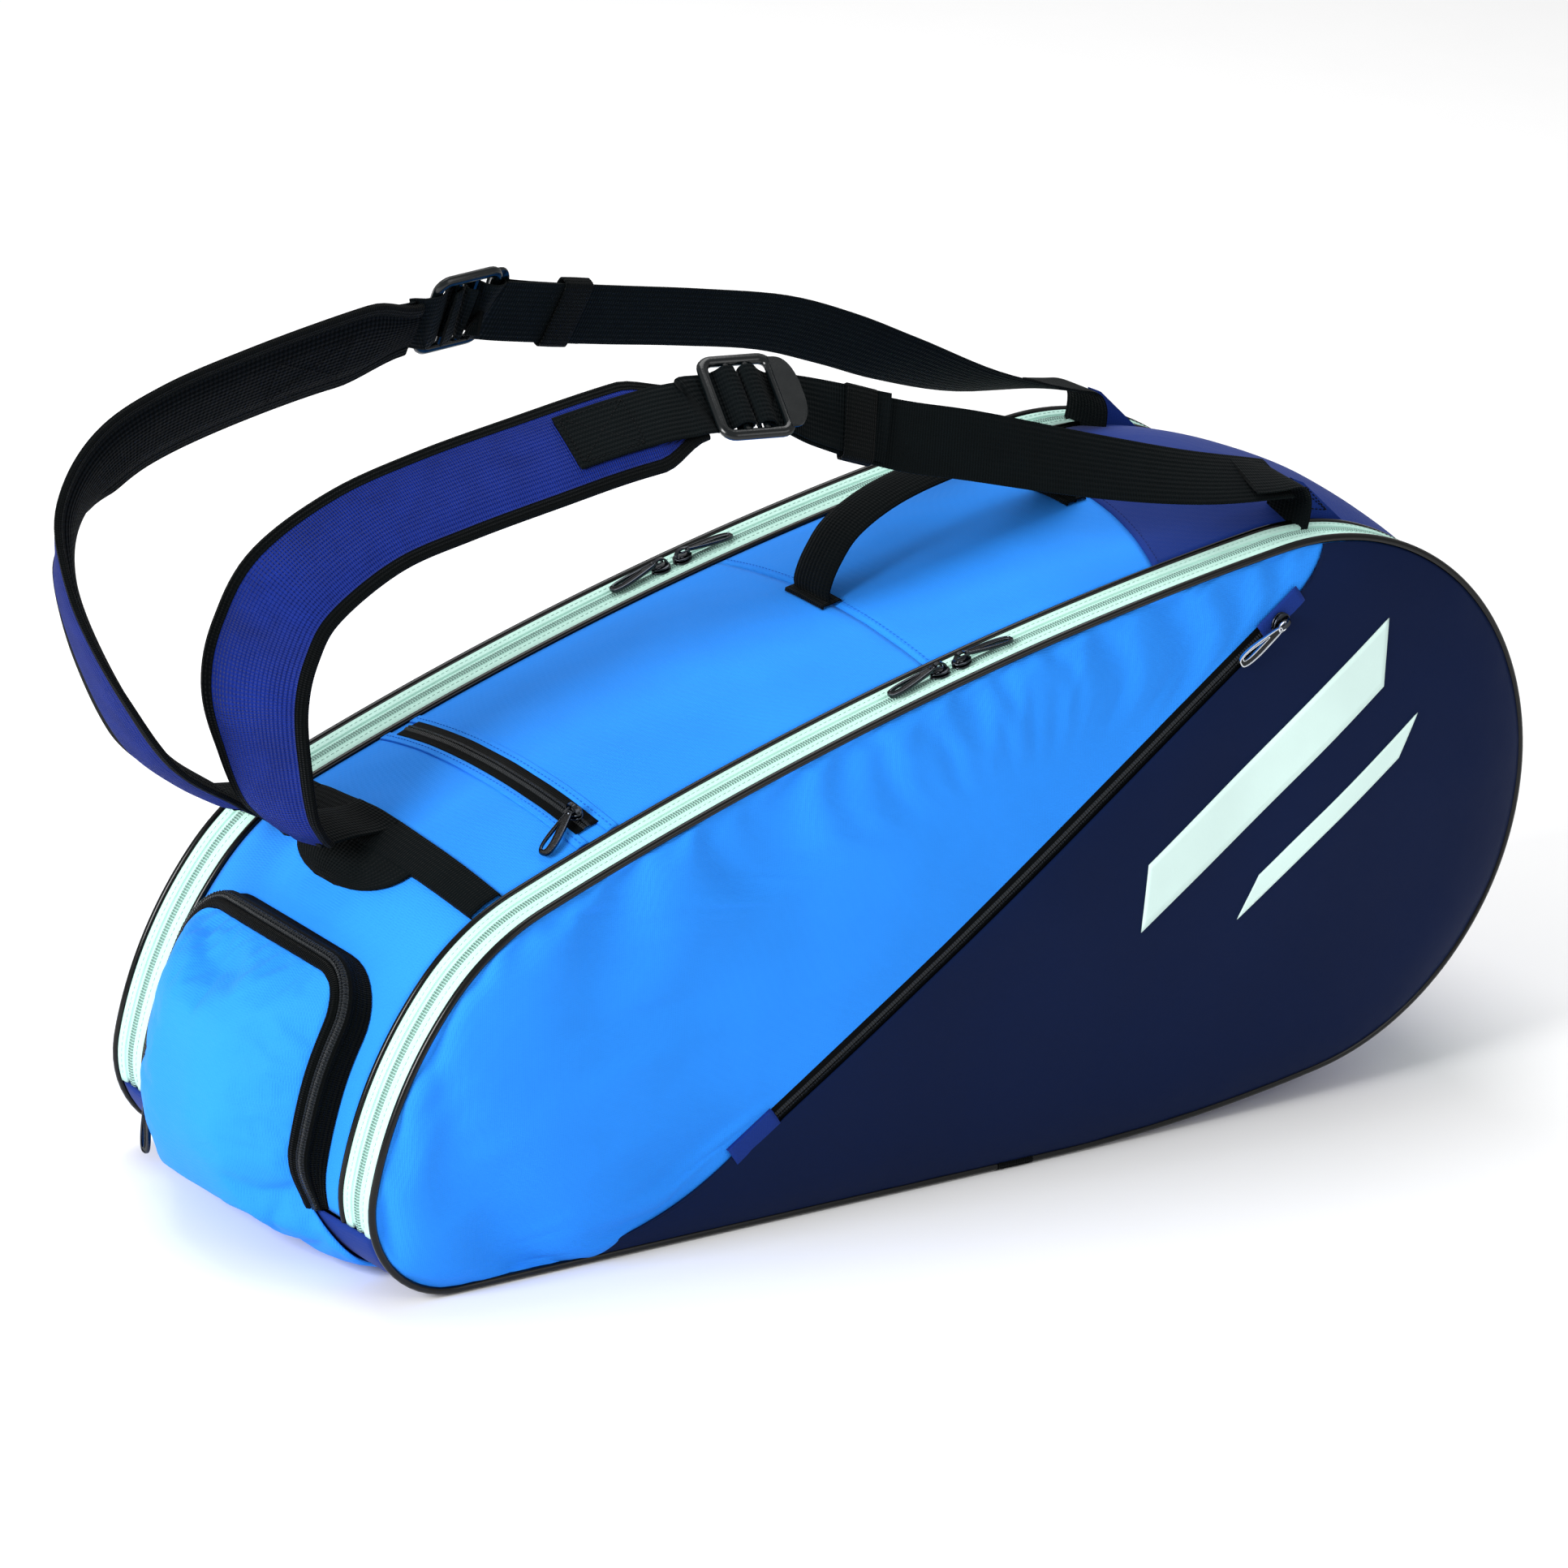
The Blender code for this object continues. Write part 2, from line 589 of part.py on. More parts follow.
def shoe_lift(s, y):
    """Outward height of the cover: a soft pillow, low at its edges."""
    t = (s - SHOE_TOP) / (SHOE_LOW - SHOE_TOP)
    length_wise = 1.0 - (2 * t - 1) ** 4
    width_wise = 1.0 - (y / SHOE_HALF) ** 4
    return SHOE_BULGE * (0.35 + 0.65 * length_wise * width_wise)


def shoe_cover():
    ys = [SHOE_HALF * (-1 + k / 3) for k in range(7)]
    rings = []
    count = 10
    for k in range(count + 1):
        s = SHOE_TOP + (SHOE_LOW - SHOE_TOP) * k / count
        ring = []
        for top, order in ((True, ys), (False, list(reversed(ys)))):
            for y in order:
                seat = crown_at(s, y) + SHOE_SEAT
                lift = shoe_lift(s, y)
                out = seat + lift if top else seat + max(0.0, lift - 0.0040) * 0.80
                x, z = SIDE.at(s, out)
                ring.append((x, y, z))
        rings.append(ring)
    return loft("shoe_pocket_cover", rings, BLUE)


shoe_cover()
SHOE_ZIP_Y = SHOE_HALF + 0.0060
SHOE_ZIP_RISE = 0.0060                    # height of the zip band over the gusset


def circle_through(a, b, c):
    """Centre and radius of the circle through three (x, z) points."""
    rows = np.array([[b[0] - a[0], b[1] - a[1]], [c[0] - a[0], c[1] - a[1]]])
    halves = np.array([(b[0] ** 2 - a[0] ** 2 + b[1] ** 2 - a[1] ** 2) / 2,
                       (c[0] ** 2 - a[0] ** 2 + c[1] ** 2 - a[1] ** 2) / 2])
    centre = np.linalg.solve(rows, halves)
    return Vector(centre), math.hypot(a[0] - centre[0], a[1] - centre[1])


def shoe_rim(s, y):
    """A point of the zip band's outer face before it is fitted to one arc."""
    return SIDE.at(s, crown_at(s, y) + SHOE_SEAT + SHOE_ZIP_RISE)


SHOE_TRACK_CENTRE, SHOE_TRACK_RADIUS = circle_through(
    shoe_rim(SHOE_LOW, SHOE_ZIP_Y), shoe_rim(SIDE.join(6), SHOE_ZIP_Y), shoe_rim(SHOE_TOP, SHOE_ZIP_Y))


def shoe_track_out(s):
    """Outward distance from the outline to the arc that the side tracks follow."""
    offset = Vector(SIDE.at(s)) - SHOE_TRACK_CENTRE
    along_normal = offset.dot(Vector(SIDE.normal(s)))
    return -along_normal + math.sqrt(along_normal ** 2 - offset.length_squared + SHOE_TRACK_RADIUS ** 2)


def shoe_zip():
    """Zip band round the cover's two sides and its top edge, as one U."""
    width = 0.0050
    path = []
    for k in range(9):
        s = SHOE_LOW + (SHOE_TOP - SHOE_LOW) * k / 8
        path.append((s, -SHOE_ZIP_Y))
    corner = 0.0060
    path[-1] = (SHOE_TOP, -SHOE_ZIP_Y)
    path += [(SHOE_TOP - corner, -SHOE_ZIP_Y + corner)]
    path += [(SHOE_TOP - corner, y) for y in (-0.045, -0.022, 0.0, 0.022, 0.045)]
    path += [(SHOE_TOP - corner, SHOE_ZIP_Y - corner), (SHOE_TOP, SHOE_ZIP_Y)]
    path += [(s, -y) for s, y in reversed(path[:8])]
    rings = []
    for k, (s, y) in enumerate(path):
        before, after = path[max(0, k - 1)], path[min(len(path) - 1, k + 1)]
        ds, dy = after[0] - before[0], after[1] - before[1]
        length = math.hypot(ds, dy)
        side_s, side_y = -dy / length, ds / length
        ring = []
        for offset, top in ((-width / 2, False), (width / 2, False), (width / 2, True), (-width / 2, True)):
            s_k, y_k = s + side_s * offset, y + side_y * offset
            seat = crown_at(s_k, y_k) + SHOE_SEAT
            if not top:
                out = seat
            elif abs(y_k) > SHOE_HALF:
                out = shoe_track_out(s_k)
            else:
                out = seat + SHOE_ZIP_RISE
            x, z = SIDE.at(s_k, out)
            ring.append((x, y_k, z))
        rings.append(ring)
    return loft("shoe_pocket_zip", rings, COIL)


shoe_zip()
shoe_spot = Vector(SIDE.at(SHOE_LOW - 0.0080, shoe_track_out(SHOE_LOW - 0.0080)))
radial = (shoe_spot - SHOE_TRACK_CENTRE).normalized()
zip_runner("shoe", (shoe_spot.x, SHOE_ZIP_Y, shoe_spot.y), (-radial.y, 0, radial.x), (radial.x, 0, radial.y),
           GAP, hang=(0, 0, -1))


# ---------------------------------------------------------------- ribbons: handle and straps
def smooth_path(points, parts):
    """Catmull-Rom curve through the points, parts steps in each span."""
    points = [Vector(p) for p in points]
    padded = [points[0] * 2 - points[1]] + points + [points[-1] * 2 - points[-2]]
    result = []
    for i in range(1, len(padded) - 2):
        p0, p1, p2, p3 = padded[i - 1:i + 3]
        for k in range(parts):
            t = k / parts
            result.append(0.5 * ((2 * p1) + (p2 - p0) * t + (2 * p0 - 5 * p1 + 4 * p2 - p3) * t * t
                                 + (3 * p1 - p0 - 3 * p2 + p3) * t ** 3))
    result.append(points[-1])
    return result


def ribbon(name, route, parts, width, thick, mat, taper=None):
    """Flat strap along a route of (point, width direction); taper scales its ends' width."""
    places = smooth_path([p for p, _ in route], parts)
    sides = smooth_path([w for _, w in route], parts)
    rings = []
    last = len(places) - 1
    for k, place in enumerate(places):
        tangent = (places[min(last, k + 1)] - places[max(0, k - 1)]).normalized()
        side = (sides[k] - tangent * sides[k].dot(tangent)).normalized()
        up = side.cross(tangent)
        half = width / 2
        if taper and k in taper:
            half *= taper[k]
        if taper and k - last - 1 in taper:
            half *= taper[k - last - 1]
        rim = thick * 0.28
        ring = [place + side * a + up * b for a, b in
                ((-half, -rim), (-half * 0.9, -thick / 2), (half * 0.9, -thick / 2), (half, -rim),
                 (half, rim), (half * 0.9, thick / 2), (-half * 0.9, thick / 2), (-half, rim))]
        rings.append(ring)
    return loft(name, rings, mat)


# carry handle: two sewn feet and one free arch between them
FOOT_LEFT_X, FOOT_RIGHT_X = -0.020, 0.140
HANDLE_WIDTH, HANDLE_THICK = 0.032, 0.0026
HANDLE_PIVOT = 0.0080                    # the arch springs this far above the gusset
for word, x_foot in (("left", FOOT_LEFT_X), ("right", FOOT_RIGHT_X)):
    s = SIDE.top_s(x_foot)
    rings = []
    for shift in (-0.011, 0.011):
        ring = []
        for y, out in ((-HANDLE_WIDTH / 2, 0.0), (HANDLE_WIDTH / 2, 0.0),
                       (HANDLE_WIDTH / 2, HANDLE_THICK), (-HANDLE_WIDTH / 2, HANDLE_THICK)):
            x, z = SIDE.at(s + shift, CROWN + 0.0006 + out)
            ring.append((x, y, z))
        rings.append(ring)
    loft(f"handle_foot_{word}", rings, BLACK_WEB)


HANDLE_START = SIDE.at(SIDE.top_s(FOOT_LEFT_X), CROWN + HANDLE_PIVOT)
HANDLE_END = SIDE.at(SIDE.top_s(FOOT_RIGHT_X), CROWN + HANDLE_PIVOT)


def handle():
    start, end = Vector(HANDLE_START), Vector(HANDLE_END)
    rise = Vector((-(end - start).y, (end - start).x)).normalized()
    route = []
    for t, lift in ((0.0, 0.0), (0.05, 0.013), (0.14, 0.026), (0.30, 0.0345), (0.5, 0.0370),
                    (0.70, 0.0345), (0.86, 0.026), (0.95, 0.013), (1.0, 0.0)):
        p = start + (end - start) * t + rise * lift
        route.append(((p.x, 0.0, p.y), (0, -1, 0)))
    taper = {0: 0.30, 1: 0.60, 2: 0.85, -1: 0.30, -2: 0.60, -3: 0.85}
    ribbon("carry_handle", route, 2, HANDLE_WIDTH, HANDLE_THICK, BLACK_WEB, taper)


handle()


# ---------------------------------------------------------------- shoulder straps
FRONT_PAD = [((-0.3310, 0.0120, 0.2065), (0.21, -0.96, -0.10)), ((-0.347, 0.0160, 0.225), (0.18, -0.98, -0.04)),
             ((-0.355, 0.0210, 0.256), (0.29, -0.95, -0.06)), ((-0.358, 0.0260, 0.287), (0.42, -0.90, -0.13)),
             ((-0.353, 0.0250, 0.315), (0.42, -0.90, -0.14)), ((-0.338, 0.0220, 0.343), (0.30, -0.88, -0.34)),
             ((-0.301, 0.0140, 0.370), (0.16, -0.92, -0.37)), ((-0.258, 0.0050, 0.386), (0.05, -0.90, -0.43)),
             ((-0.208, -0.007, 0.401), (-0.14, -0.86, -0.48)), ((-0.168, -0.016, 0.412), (-0.18, -0.85, -0.48)),
             ((-0.124, -0.025, 0.421), (-0.18, -0.84, -0.50))]
FRONT_BUCKLE = ((-0.0960, -0.031, 0.4270), (-0.16, -0.81, -0.56))
FRONT_WEB = [((-0.0740, -0.036, 0.4210), (-0.16, -0.75, -0.62)), ((-0.0560, -0.040, 0.4140), (-0.10, -0.62, -0.76)),
             ((-0.0090, -0.050, 0.3990), (0.00, -0.40, -0.90)), ((0.033, -0.060, 0.390), (0.0, -0.40, -0.90)),
             ((0.099, -0.074, 0.373), (0.0, -0.55, -0.83)), ((0.176, -0.089, 0.357), (0.0, -0.75, -0.62)),
             ((0.219, -0.0935, 0.3525), (0.0, -0.90, -0.30))]
REAR_PAD = [((-0.334, 0.0840, 0.2050), (0.13, -0.99, -0.04)), ((-0.359, 0.0820, 0.219), (0.15, -0.99, 0.00)),
            ((-0.397, 0.0720, 0.249), (0.02, -0.99, -0.03)), ((-0.424, 0.0710, 0.292), (-0.10, -0.99, -0.09)),
            ((-0.444, 0.0690, 0.336), (-0.28, -0.95, -0.13)), ((-0.448, 0.0690, 0.362), (-0.50, -0.86, 0.05)),
            ((-0.443, 0.0700, 0.388), (-0.68, -0.68, 0.29)), ((-0.425, 0.0700, 0.409), (-0.55, -0.54, 0.64)),
            ((-0.393, 0.0720, 0.424), (-0.33, -0.55, 0.77)), ((-0.345, 0.0740, 0.436), (-0.20, -0.57, 0.80)),
            ((-0.284, 0.0780, 0.446), (-0.14, -0.57, 0.81)), ((-0.232, 0.0810, 0.451), (-0.12, -0.54, 0.83))]
REAR_BUCKLE = ((-0.2030, 0.0835, 0.4570), (-0.13, -0.48, 0.87))
REAR_WEB = [((-0.1810, 0.084, 0.4540), (0.15, -0.38, 0.91)), ((-0.1600, 0.085, 0.4500), (0.20, -0.35, 0.92)),
            ((-0.1030, 0.088, 0.4400), (0.18, -0.35, 0.92)), ((-0.049, 0.090, 0.431), (0.18, -0.38, 0.91)),
            ((0.007, 0.092, 0.420), (0.24, -0.42, 0.88)), ((0.053, 0.094, 0.404), (0.32, -0.48, 0.82)),
            ((0.094, 0.095, 0.387), (0.34, -0.60, 0.72)), ((0.153, 0.097, 0.365), (0.22, -0.85, 0.48)),
            ((0.219, 0.0935, 0.3525), (0.03, -0.98, 0.10))]
BUCKLE_LENGTH, BUCKLE_WIDTH, BUCKLE_THICK = 0.0400, 0.0500, 0.0046
TAB_X, TAB_HALF, TAB_THICK = 0.2340, 0.0190, 0.0030
STRAP_ENDS, LOCK_BARS = {}, {}            # sewn end of each strap, bar that each lock tilts on


def cell_plate(name, xs, ys, holes, thick, mat, matrix):
    """Plate of rectangular cells with some left open, placed by a matrix."""
    bm = bmesh.new()
    corners = {}
    for level, z in enumerate((-thick / 2, thick / 2)):
        for i, x in enumerate(xs):
            for j, y in enumerate(ys):
                corners[i, j, level] = bm.verts.new((x, y, z))
    cells = {(i, j) for i in range(len(xs) - 1) for j in range(len(ys) - 1)} - set(holes)
    for i, j in cells:
        for level in (0, 1):
            bm.faces.new([corners[a, b, level] for a, b in ((i, j), (i + 1, j), (i + 1, j + 1), (i, j + 1))])
        for di, dj, first, second in ((0, -1, (i, j), (i + 1, j)), (0, 1, (i, j + 1), (i + 1, j + 1)),
                                      (-1, 0, (i, j), (i, j + 1)), (1, 0, (i + 1, j), (i + 1, j + 1))):
            if (i + di, j + dj) not in cells:
                bm.faces.new((corners[(*first, 0)], corners[(*second, 0)],
                              corners[(*second, 1)], corners[(*first, 1)]))
    loose = [v for v in bm.verts if not v.link_faces]
    bmesh.ops.delete(bm, geom=loose, context="VERTS")
    bmesh.ops.transform(bm, matrix=matrix, verts=bm.verts)
    return finish(name, bm, mat)


def ribbon_frame(place, ahead, width_direction):
    """Matrix with X along the strap, Y across it and Z out of its face."""
    x_axis = Vector(ahead).normalized()
    across_axis = Vector(width_direction)
    across_axis = (across_axis - x_axis * across_axis.dot(x_axis)).normalized()
    z_axis = x_axis.cross(across_axis)
    rotation = Matrix((x_axis, across_axis, z_axis)).transposed().to_4x4()
    return Matrix.Translation(Vector(place)) @ rotation


def shoulder_strap(word, pad, buckle, web, root_y):
    side = -1 if word == "front" else 1
    ribbon(f"{word}_strap_pad", pad, 2, PAD_WIDTH, PAD_THICK, PAD_BLUE,
           {0: 0.80, -1: 0.62, -2: 0.90})
    # root webbing from the anchor tape to the pad
    first, first_side = pad[0]
    s = S_ANCHOR
    x, z = SIDE.at(s, crown_at(s, root_y) + 0.0009 + ANCHOR_THICK + WEB_THICK / 2 + GAP)
    sewn = Vector((x + 0.004, root_y, z + 0.0035))
    reach = Vector(first) + (sewn - Vector(first)).normalized() * 0.0095
    middle = (sewn + reach) / 2 + Vector((0, 0, 0.0015))
    root = [(sewn, (0, -1, 0)), (middle, (0.05, -1, -0.05)), (reach, first_side)]
    STRAP_ENDS[word] = sewn
    ribbon(f"{word}_strap_root", root, 3, WEB_WIDTH, WEB_THICK, BLACK_WEB)
    # ladder-lock buckle and the webbing that runs from it to the racket-head end
    ahead = Vector(web[0][0]) - Vector(pad[-1][0])
    matrix = ribbon_frame(buckle[0], ahead, buckle[1])
    half_l, half_w, slot = BUCKLE_LENGTH / 2, BUCKLE_WIDTH / 2, BUCKLE_WIDTH / 2 - 0.0050
    xs = [-half_l, -half_l + 0.004, -0.0075, -0.0035, 0.0035, 0.0075, half_l - 0.004, half_l]
    ys = [-half_w, -slot, slot, half_w]
    cell_plate(f"{word}_ladder_lock", xs, ys, [(1, 1), (3, 1), (5, 1)], BUCKLE_THICK, PLASTIC, matrix)
    LOCK_BARS[word] = matrix @ Vector((-half_l + 0.002, 0.0, 0.0))
    ribbon(f"{word}_strap_webbing", web, 3, WEB_WIDTH, WEB_THICK, BLACK_WEB)
    # elastic keeper round the straight stretch of webbing
    a, b = (Vector(web[1][0]), Vector(web[2][0]))
    places = smooth_path([p for p, _ in web], 3)
    sides = smooth_path([w for _, w in web], 3)
    centre = places[4] * 0.5 + places[5] * 0.5
    keeper = ribbon_frame(centre, b - a, sides[4] * 0.5 + sides[5] * 0.5)
    out_w, in_w = WEB_WIDTH / 2 + 0.0034, WEB_WIDTH / 2 + 0.0020
    out_t, in_t = 0.0046, 0.0034
    rings = []
    for x_k, w_k, t_k in ((-0.009, in_w, in_t), (-0.009, out_w, out_t), (0.009, out_w, out_t), (0.009, in_w, in_t)):
        rings.append([keeper @ Vector((x_k, w, t)) for w, t in
                      ((-w_k, -t_k), (w_k, -t_k), (w_k, t_k), (-w_k, t_k))])
    loft(f"{word}_strap_keeper", rings, BLACK_WEB, closed=True)
    # triangular tab sewn into the inner piping
    y_tab = side * (INNER_Y - 0.0085)
    z_foot = SIDE.at(SIDE.top_s(TAB_X), 0.0)[1] + 0.0060
    tab = [(TAB_X - TAB_HALF, z_foot), (TAB_X + TAB_HALF, z_foot - 0.0010),
           (TAB_X + 0.004, z_foot + 0.026), (TAB_X - 0.010, z_foot + 0.0235)]
    plate(f"{word}_strap_tab", tab, y_tab - TAB_THICK / 2, y_tab + TAB_THICK / 2, NAVY)


shoulder_strap("front", FRONT_PAD, FRONT_BUCKLE, FRONT_WEB, 0.012)
shoulder_strap("rear", REAR_PAD, REAR_BUCKLE, REAR_WEB, 0.072)


# ---------------------------------------------------------------- moving pieces, each on its axis
def carry(name, place, *members):
    """Put an empty on a joint's axis and hang the pieces that turn about it from it."""
    axis = bpy.data.objects.new(name, None)
    axis.location = place
    bpy.context.scene.collection.objects.link(axis)
    hang_from(axis, Matrix.Translation(place), *members)


def hang_from(parent, placed, *members):
    """Parent pieces to another object without moving them."""
    for member in members:
        piece = bpy.data.objects[member]
        piece.parent = parent
        piece.matrix_parent_inverse = placed.inverted()


def in_plane(point, y=0.0):
    """A point (x, z) of the side outline's plane, at a given Y."""
    return Vector((point[0], y, point[1]))


HINGE_Z = GROUND - PIPE_OUT               # both covers open about their lower piping
carry("front_cover_axis", in_plane((0.0, HINGE_Z), -EDGE_Y), "front_side_panel", "front_outer_piping",
      "front_zip_tape_outer", "front_pocket_panel", "pocket_zip_tape", "trim_bar_long", "trim_bar_short",
      "pocket_slider")
carry("rear_cover_axis", in_plane((0.0, HINGE_Z), EDGE_Y), "rear_side_panel", "rear_outer_piping",
      "rear_zip_tape_outer")
carry("top_arc_axis", in_plane(SIDE.centre(3)), "front_left_slider", "front_right_slider",
      "rear_left_slider", "rear_right_slider")
carry("accessory_arc_axis", in_plane(SIDE.at(S_ACCESSORY, CROWN - CROWN_RADIUS)), "accessory_slider")
carry("shoe_arc_axis", in_plane(SHOE_TRACK_CENTRE), "shoe_slider")
carry("shoe_cover_axis", in_plane(SIDE.at(SHOE_LOW, SHOE_SEAT)), "shoe_pocket_cover")
carry("handle_axis", in_plane(HANDLE_START), "carry_handle")
for runner in ("front_left", "front_right", "rear_left", "rear_right", "pocket", "accessory", "shoe"):
    slider = bpy.data.objects[f"{runner}_slider"]
    hang_from(slider, RUNNER_PLACES[runner], f"{runner}_pull")
for word in ("front", "rear"):
    carry(f"{word}_strap_axis", STRAP_ENDS[word], f"{word}_strap_pad", f"{word}_strap_webbing",
          f"{word}_strap_keeper")
    carry(f"{word}_lock_axis", LOCK_BARS[word], f"{word}_ladder_lock")
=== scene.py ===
import math

import bmesh
import bpy
import numpy as np
from mathutils import Matrix, Vector, noise


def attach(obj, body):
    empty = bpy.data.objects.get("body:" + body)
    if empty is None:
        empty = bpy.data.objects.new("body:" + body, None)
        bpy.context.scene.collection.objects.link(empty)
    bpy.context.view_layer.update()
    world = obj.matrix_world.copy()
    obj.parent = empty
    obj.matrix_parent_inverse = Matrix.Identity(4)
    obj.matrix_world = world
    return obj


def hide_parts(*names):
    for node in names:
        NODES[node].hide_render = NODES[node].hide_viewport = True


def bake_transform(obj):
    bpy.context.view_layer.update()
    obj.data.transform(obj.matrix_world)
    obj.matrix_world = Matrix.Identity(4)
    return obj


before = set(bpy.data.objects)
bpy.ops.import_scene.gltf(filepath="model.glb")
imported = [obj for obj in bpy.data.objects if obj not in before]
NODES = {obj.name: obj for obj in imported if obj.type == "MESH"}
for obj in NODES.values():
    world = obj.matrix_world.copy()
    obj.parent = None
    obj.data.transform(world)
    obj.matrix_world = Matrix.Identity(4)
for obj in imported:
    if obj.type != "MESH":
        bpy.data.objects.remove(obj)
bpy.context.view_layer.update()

UP, FACING = Vector((0, 0, 1)), Vector((0, -1, 0))       # up, and out of the pictured front


# ======== colours and materials
def linear(code):
    """Linear colour of an sRGB code such as 3399FF."""
    parts = [int(code[i:i + 2], 16) / 255 for i in (0, 2, 4)]
    return tuple(c / 12.92 if c <= 0.04045 else ((c + 0.055) / 1.055) ** 2.4 for c in parts)


class Nodes:
    """Short names for adding shader nodes and links to one material."""

    def __init__(self, name, roughness, metallic=0.0, sheen=0.0, coat=0.0, specular=0.5):
        self.material = bpy.data.materials.new(name)
        self.material.use_nodes = True
        self.tree = self.material.node_tree
        self.shader = self.tree.nodes["Principled BSDF"]
        for socket, value in (("Roughness", roughness), ("Metallic", metallic), ("Sheen Weight", sheen),
                              ("Sheen Roughness", 0.4), ("Coat Weight", coat), ("Coat Roughness", 0.15),
                              ("Specular IOR Level", specular)):
            self.shader.inputs[socket].default_value = value

    def add(self, kind, links=None, **settings):
        node = self.tree.nodes.new("ShaderNode" + kind)
        for key, value in settings.items():
            setattr(node, key, value)
        for key, value in (links or {}).items():
            if isinstance(value, bpy.types.NodeSocket):
                self.tree.links.new(value, node.inputs[key])
            else:
                node.inputs[key].default_value = value
        return node

    def math(self, operation, *values):
        return self.add("Math", dict(enumerate(values)), operation=operation).outputs[0]

    def place(self):
        return self.add("TexCoord").outputs["Object"]

    def run(self):
        """Metres along and across a piece, from its own map."""
        return self.add("UVMap", uv_map="run").outputs["UV"]

    def noise(self, where, scale, detail=3.0):
        return self.add("TexNoise", {"Vector": where, "Scale": scale, "Detail": detail}).outputs["Fac"]

    def ramp(self, value, code, factors, places):
        """Base colour, scaled by the first factor at low values and by the second at high ones."""
        ramp = self.add("ValToRGB", {"Fac": value})
        for stop, factor, place in zip(ramp.color_ramp.elements, factors, places):
            stop.position = place
            stop.color = (*[min(1.0, c * factor) for c in linear(code)], 1.0)
        self.link(ramp.outputs["Color"], "Base Color")

    def colour(self, code, amount, where, scale):
        """Base colour that drifts a little lighter and darker over the surface."""
        self.ramp(self.noise(where, scale), code, (1 - amount, 1 + amount), (0.3, 0.7))

    def worn(self, where, scale, spread, low):
        """Roughness that varies by spread above its low end."""
        self.link(self.math("MULTIPLY_ADD", self.noise(where, scale), spread, low), "Roughness")

    def bump(self, distance, *layers):
        """Bump from the sum of (height, weight) layers."""
        total = 0.0
        for height, weight in layers:
            total = self.math("ADD", self.math("MULTIPLY", height, weight), total)
        bump = self.add("Bump", {"Height": total, "Distance": distance, "Strength": 1.0})
        self.link(bump.outputs["Normal"], "Normal")

    def link(self, output, socket):
        self.tree.links.new(output, self.shader.inputs[socket])


def waves(made, where, pitches):
    """Sum of sine waves along the axes that have a pitch."""
    split = made.add("SeparateXYZ", {"Vector": where})
    total = 0.0
    for axis, pitch in zip("XYZ", pitches):
        if pitch:
            turn = made.math("MULTIPLY", split.outputs[axis], 2 * math.pi / pitch)
            total = made.math("ADD", made.math("SINE", turn), total)
    return total


def cloth(name, code, pitch=0.0011, roughness=0.62, sheen=0.04, depth=0.00012, drift=0.05):
    """Tightly woven polyester: fine plain weave, faint slubs, slow colour drift."""
    made = Nodes(name, roughness, sheen=sheen, specular=0.05)
    where = made.place()
    made.bump(depth, (waves(made, where, (pitch, pitch, pitch)), 0.25), (made.noise(where, 420.0, 2.0), 0.9),
              (made.noise(where, 26.0), 3.0))
    made.colour(code, drift, where, 14.0)
    return made.material


def webbing(name, code, rib=0.0016, cross=0.003, roughness=0.72, depth=0.00035, sheen=0.02, drift=0.12):
    """Ribbed webbing: ribs along the strap crossed by finer picks, from the piece's own map."""
    made = Nodes(name, roughness, sheen=sheen, specular=0.05)
    where = made.place()
    made.bump(depth, (waves(made, made.run(), (rib, cross, None)), 0.5), (made.noise(where, 900.0, 2.0), 1.0))
    made.colour(code, drift, where, 60.0)
    return made.material


def coated(name, code, roughness, specular, coat=0.0, depth=0.0004):
    """Smooth coated fabric: soft gloss, fine grain and slow undulation."""
    made = Nodes(name, roughness, coat=coat, specular=specular)
    where = made.place()
    made.bump(depth, (made.noise(where, 700.0, 2.0), 0.12), (made.noise(where, 18.0), 2.2))
    made.colour(code, 0.07, where, 9.0)
    made.worn(where, 35.0, 0.16, roughness - 0.08)
    return made.material


def plastic(name, code, roughness, metallic=0.0, depth=0.00006, specular=0.5):
    """Moulded plastic or plated metal with a very fine uneven skin."""
    made = Nodes(name, roughness, metallic=metallic, specular=specular)
    where = made.place()
    made.bump(depth, (made.noise(where, 900.0), 1.0))
    made.colour(code, 0.06, where, 120.0)
    made.worn(where, 160.0, 0.14, max(0.05, roughness - 0.07))
    return made.material


def mesh_cloth(name, code):
    """Open air-mesh lining: a regular field of small round holes, with painted shade in the holes and a faint
    painted highlight on the ridges.
    """
    made = Nodes(name, 0.8, sheen=0.01, specular=0.04)
    holes = waves(made, made.run(), (0.003, 0.003, None))
    made.bump(0.0005, (holes, 1.0))
    # painted shade and highlight: the colour darkens in the holes and lightens a little on the ridges between
    # them
    made.ramp(made.math("MULTIPLY_ADD", holes, 0.25, 0.5), code, (0.35, 1.2), (0.25, 0.6))
    return made.material


def coil(name, code, roughness):
    """Zip coil: teeth across the closure line, from the piece's own map, with painted shade between the teeth
    and painted highlight on their crests.
    """
    made = Nodes(name, roughness, specular=0.3)
    teeth = waves(made, made.run(), (0.0016, None, None))
    made.bump(0.0005, (teeth, 1.0))
    # painted shade and highlight: the colour darkens between the teeth and lightens on their crests
    made.ramp(made.math("MULTIPLY_ADD", teeth, 0.5, 0.5), code, (0.55, 1.15), (0.2, 0.7))
    return made.material


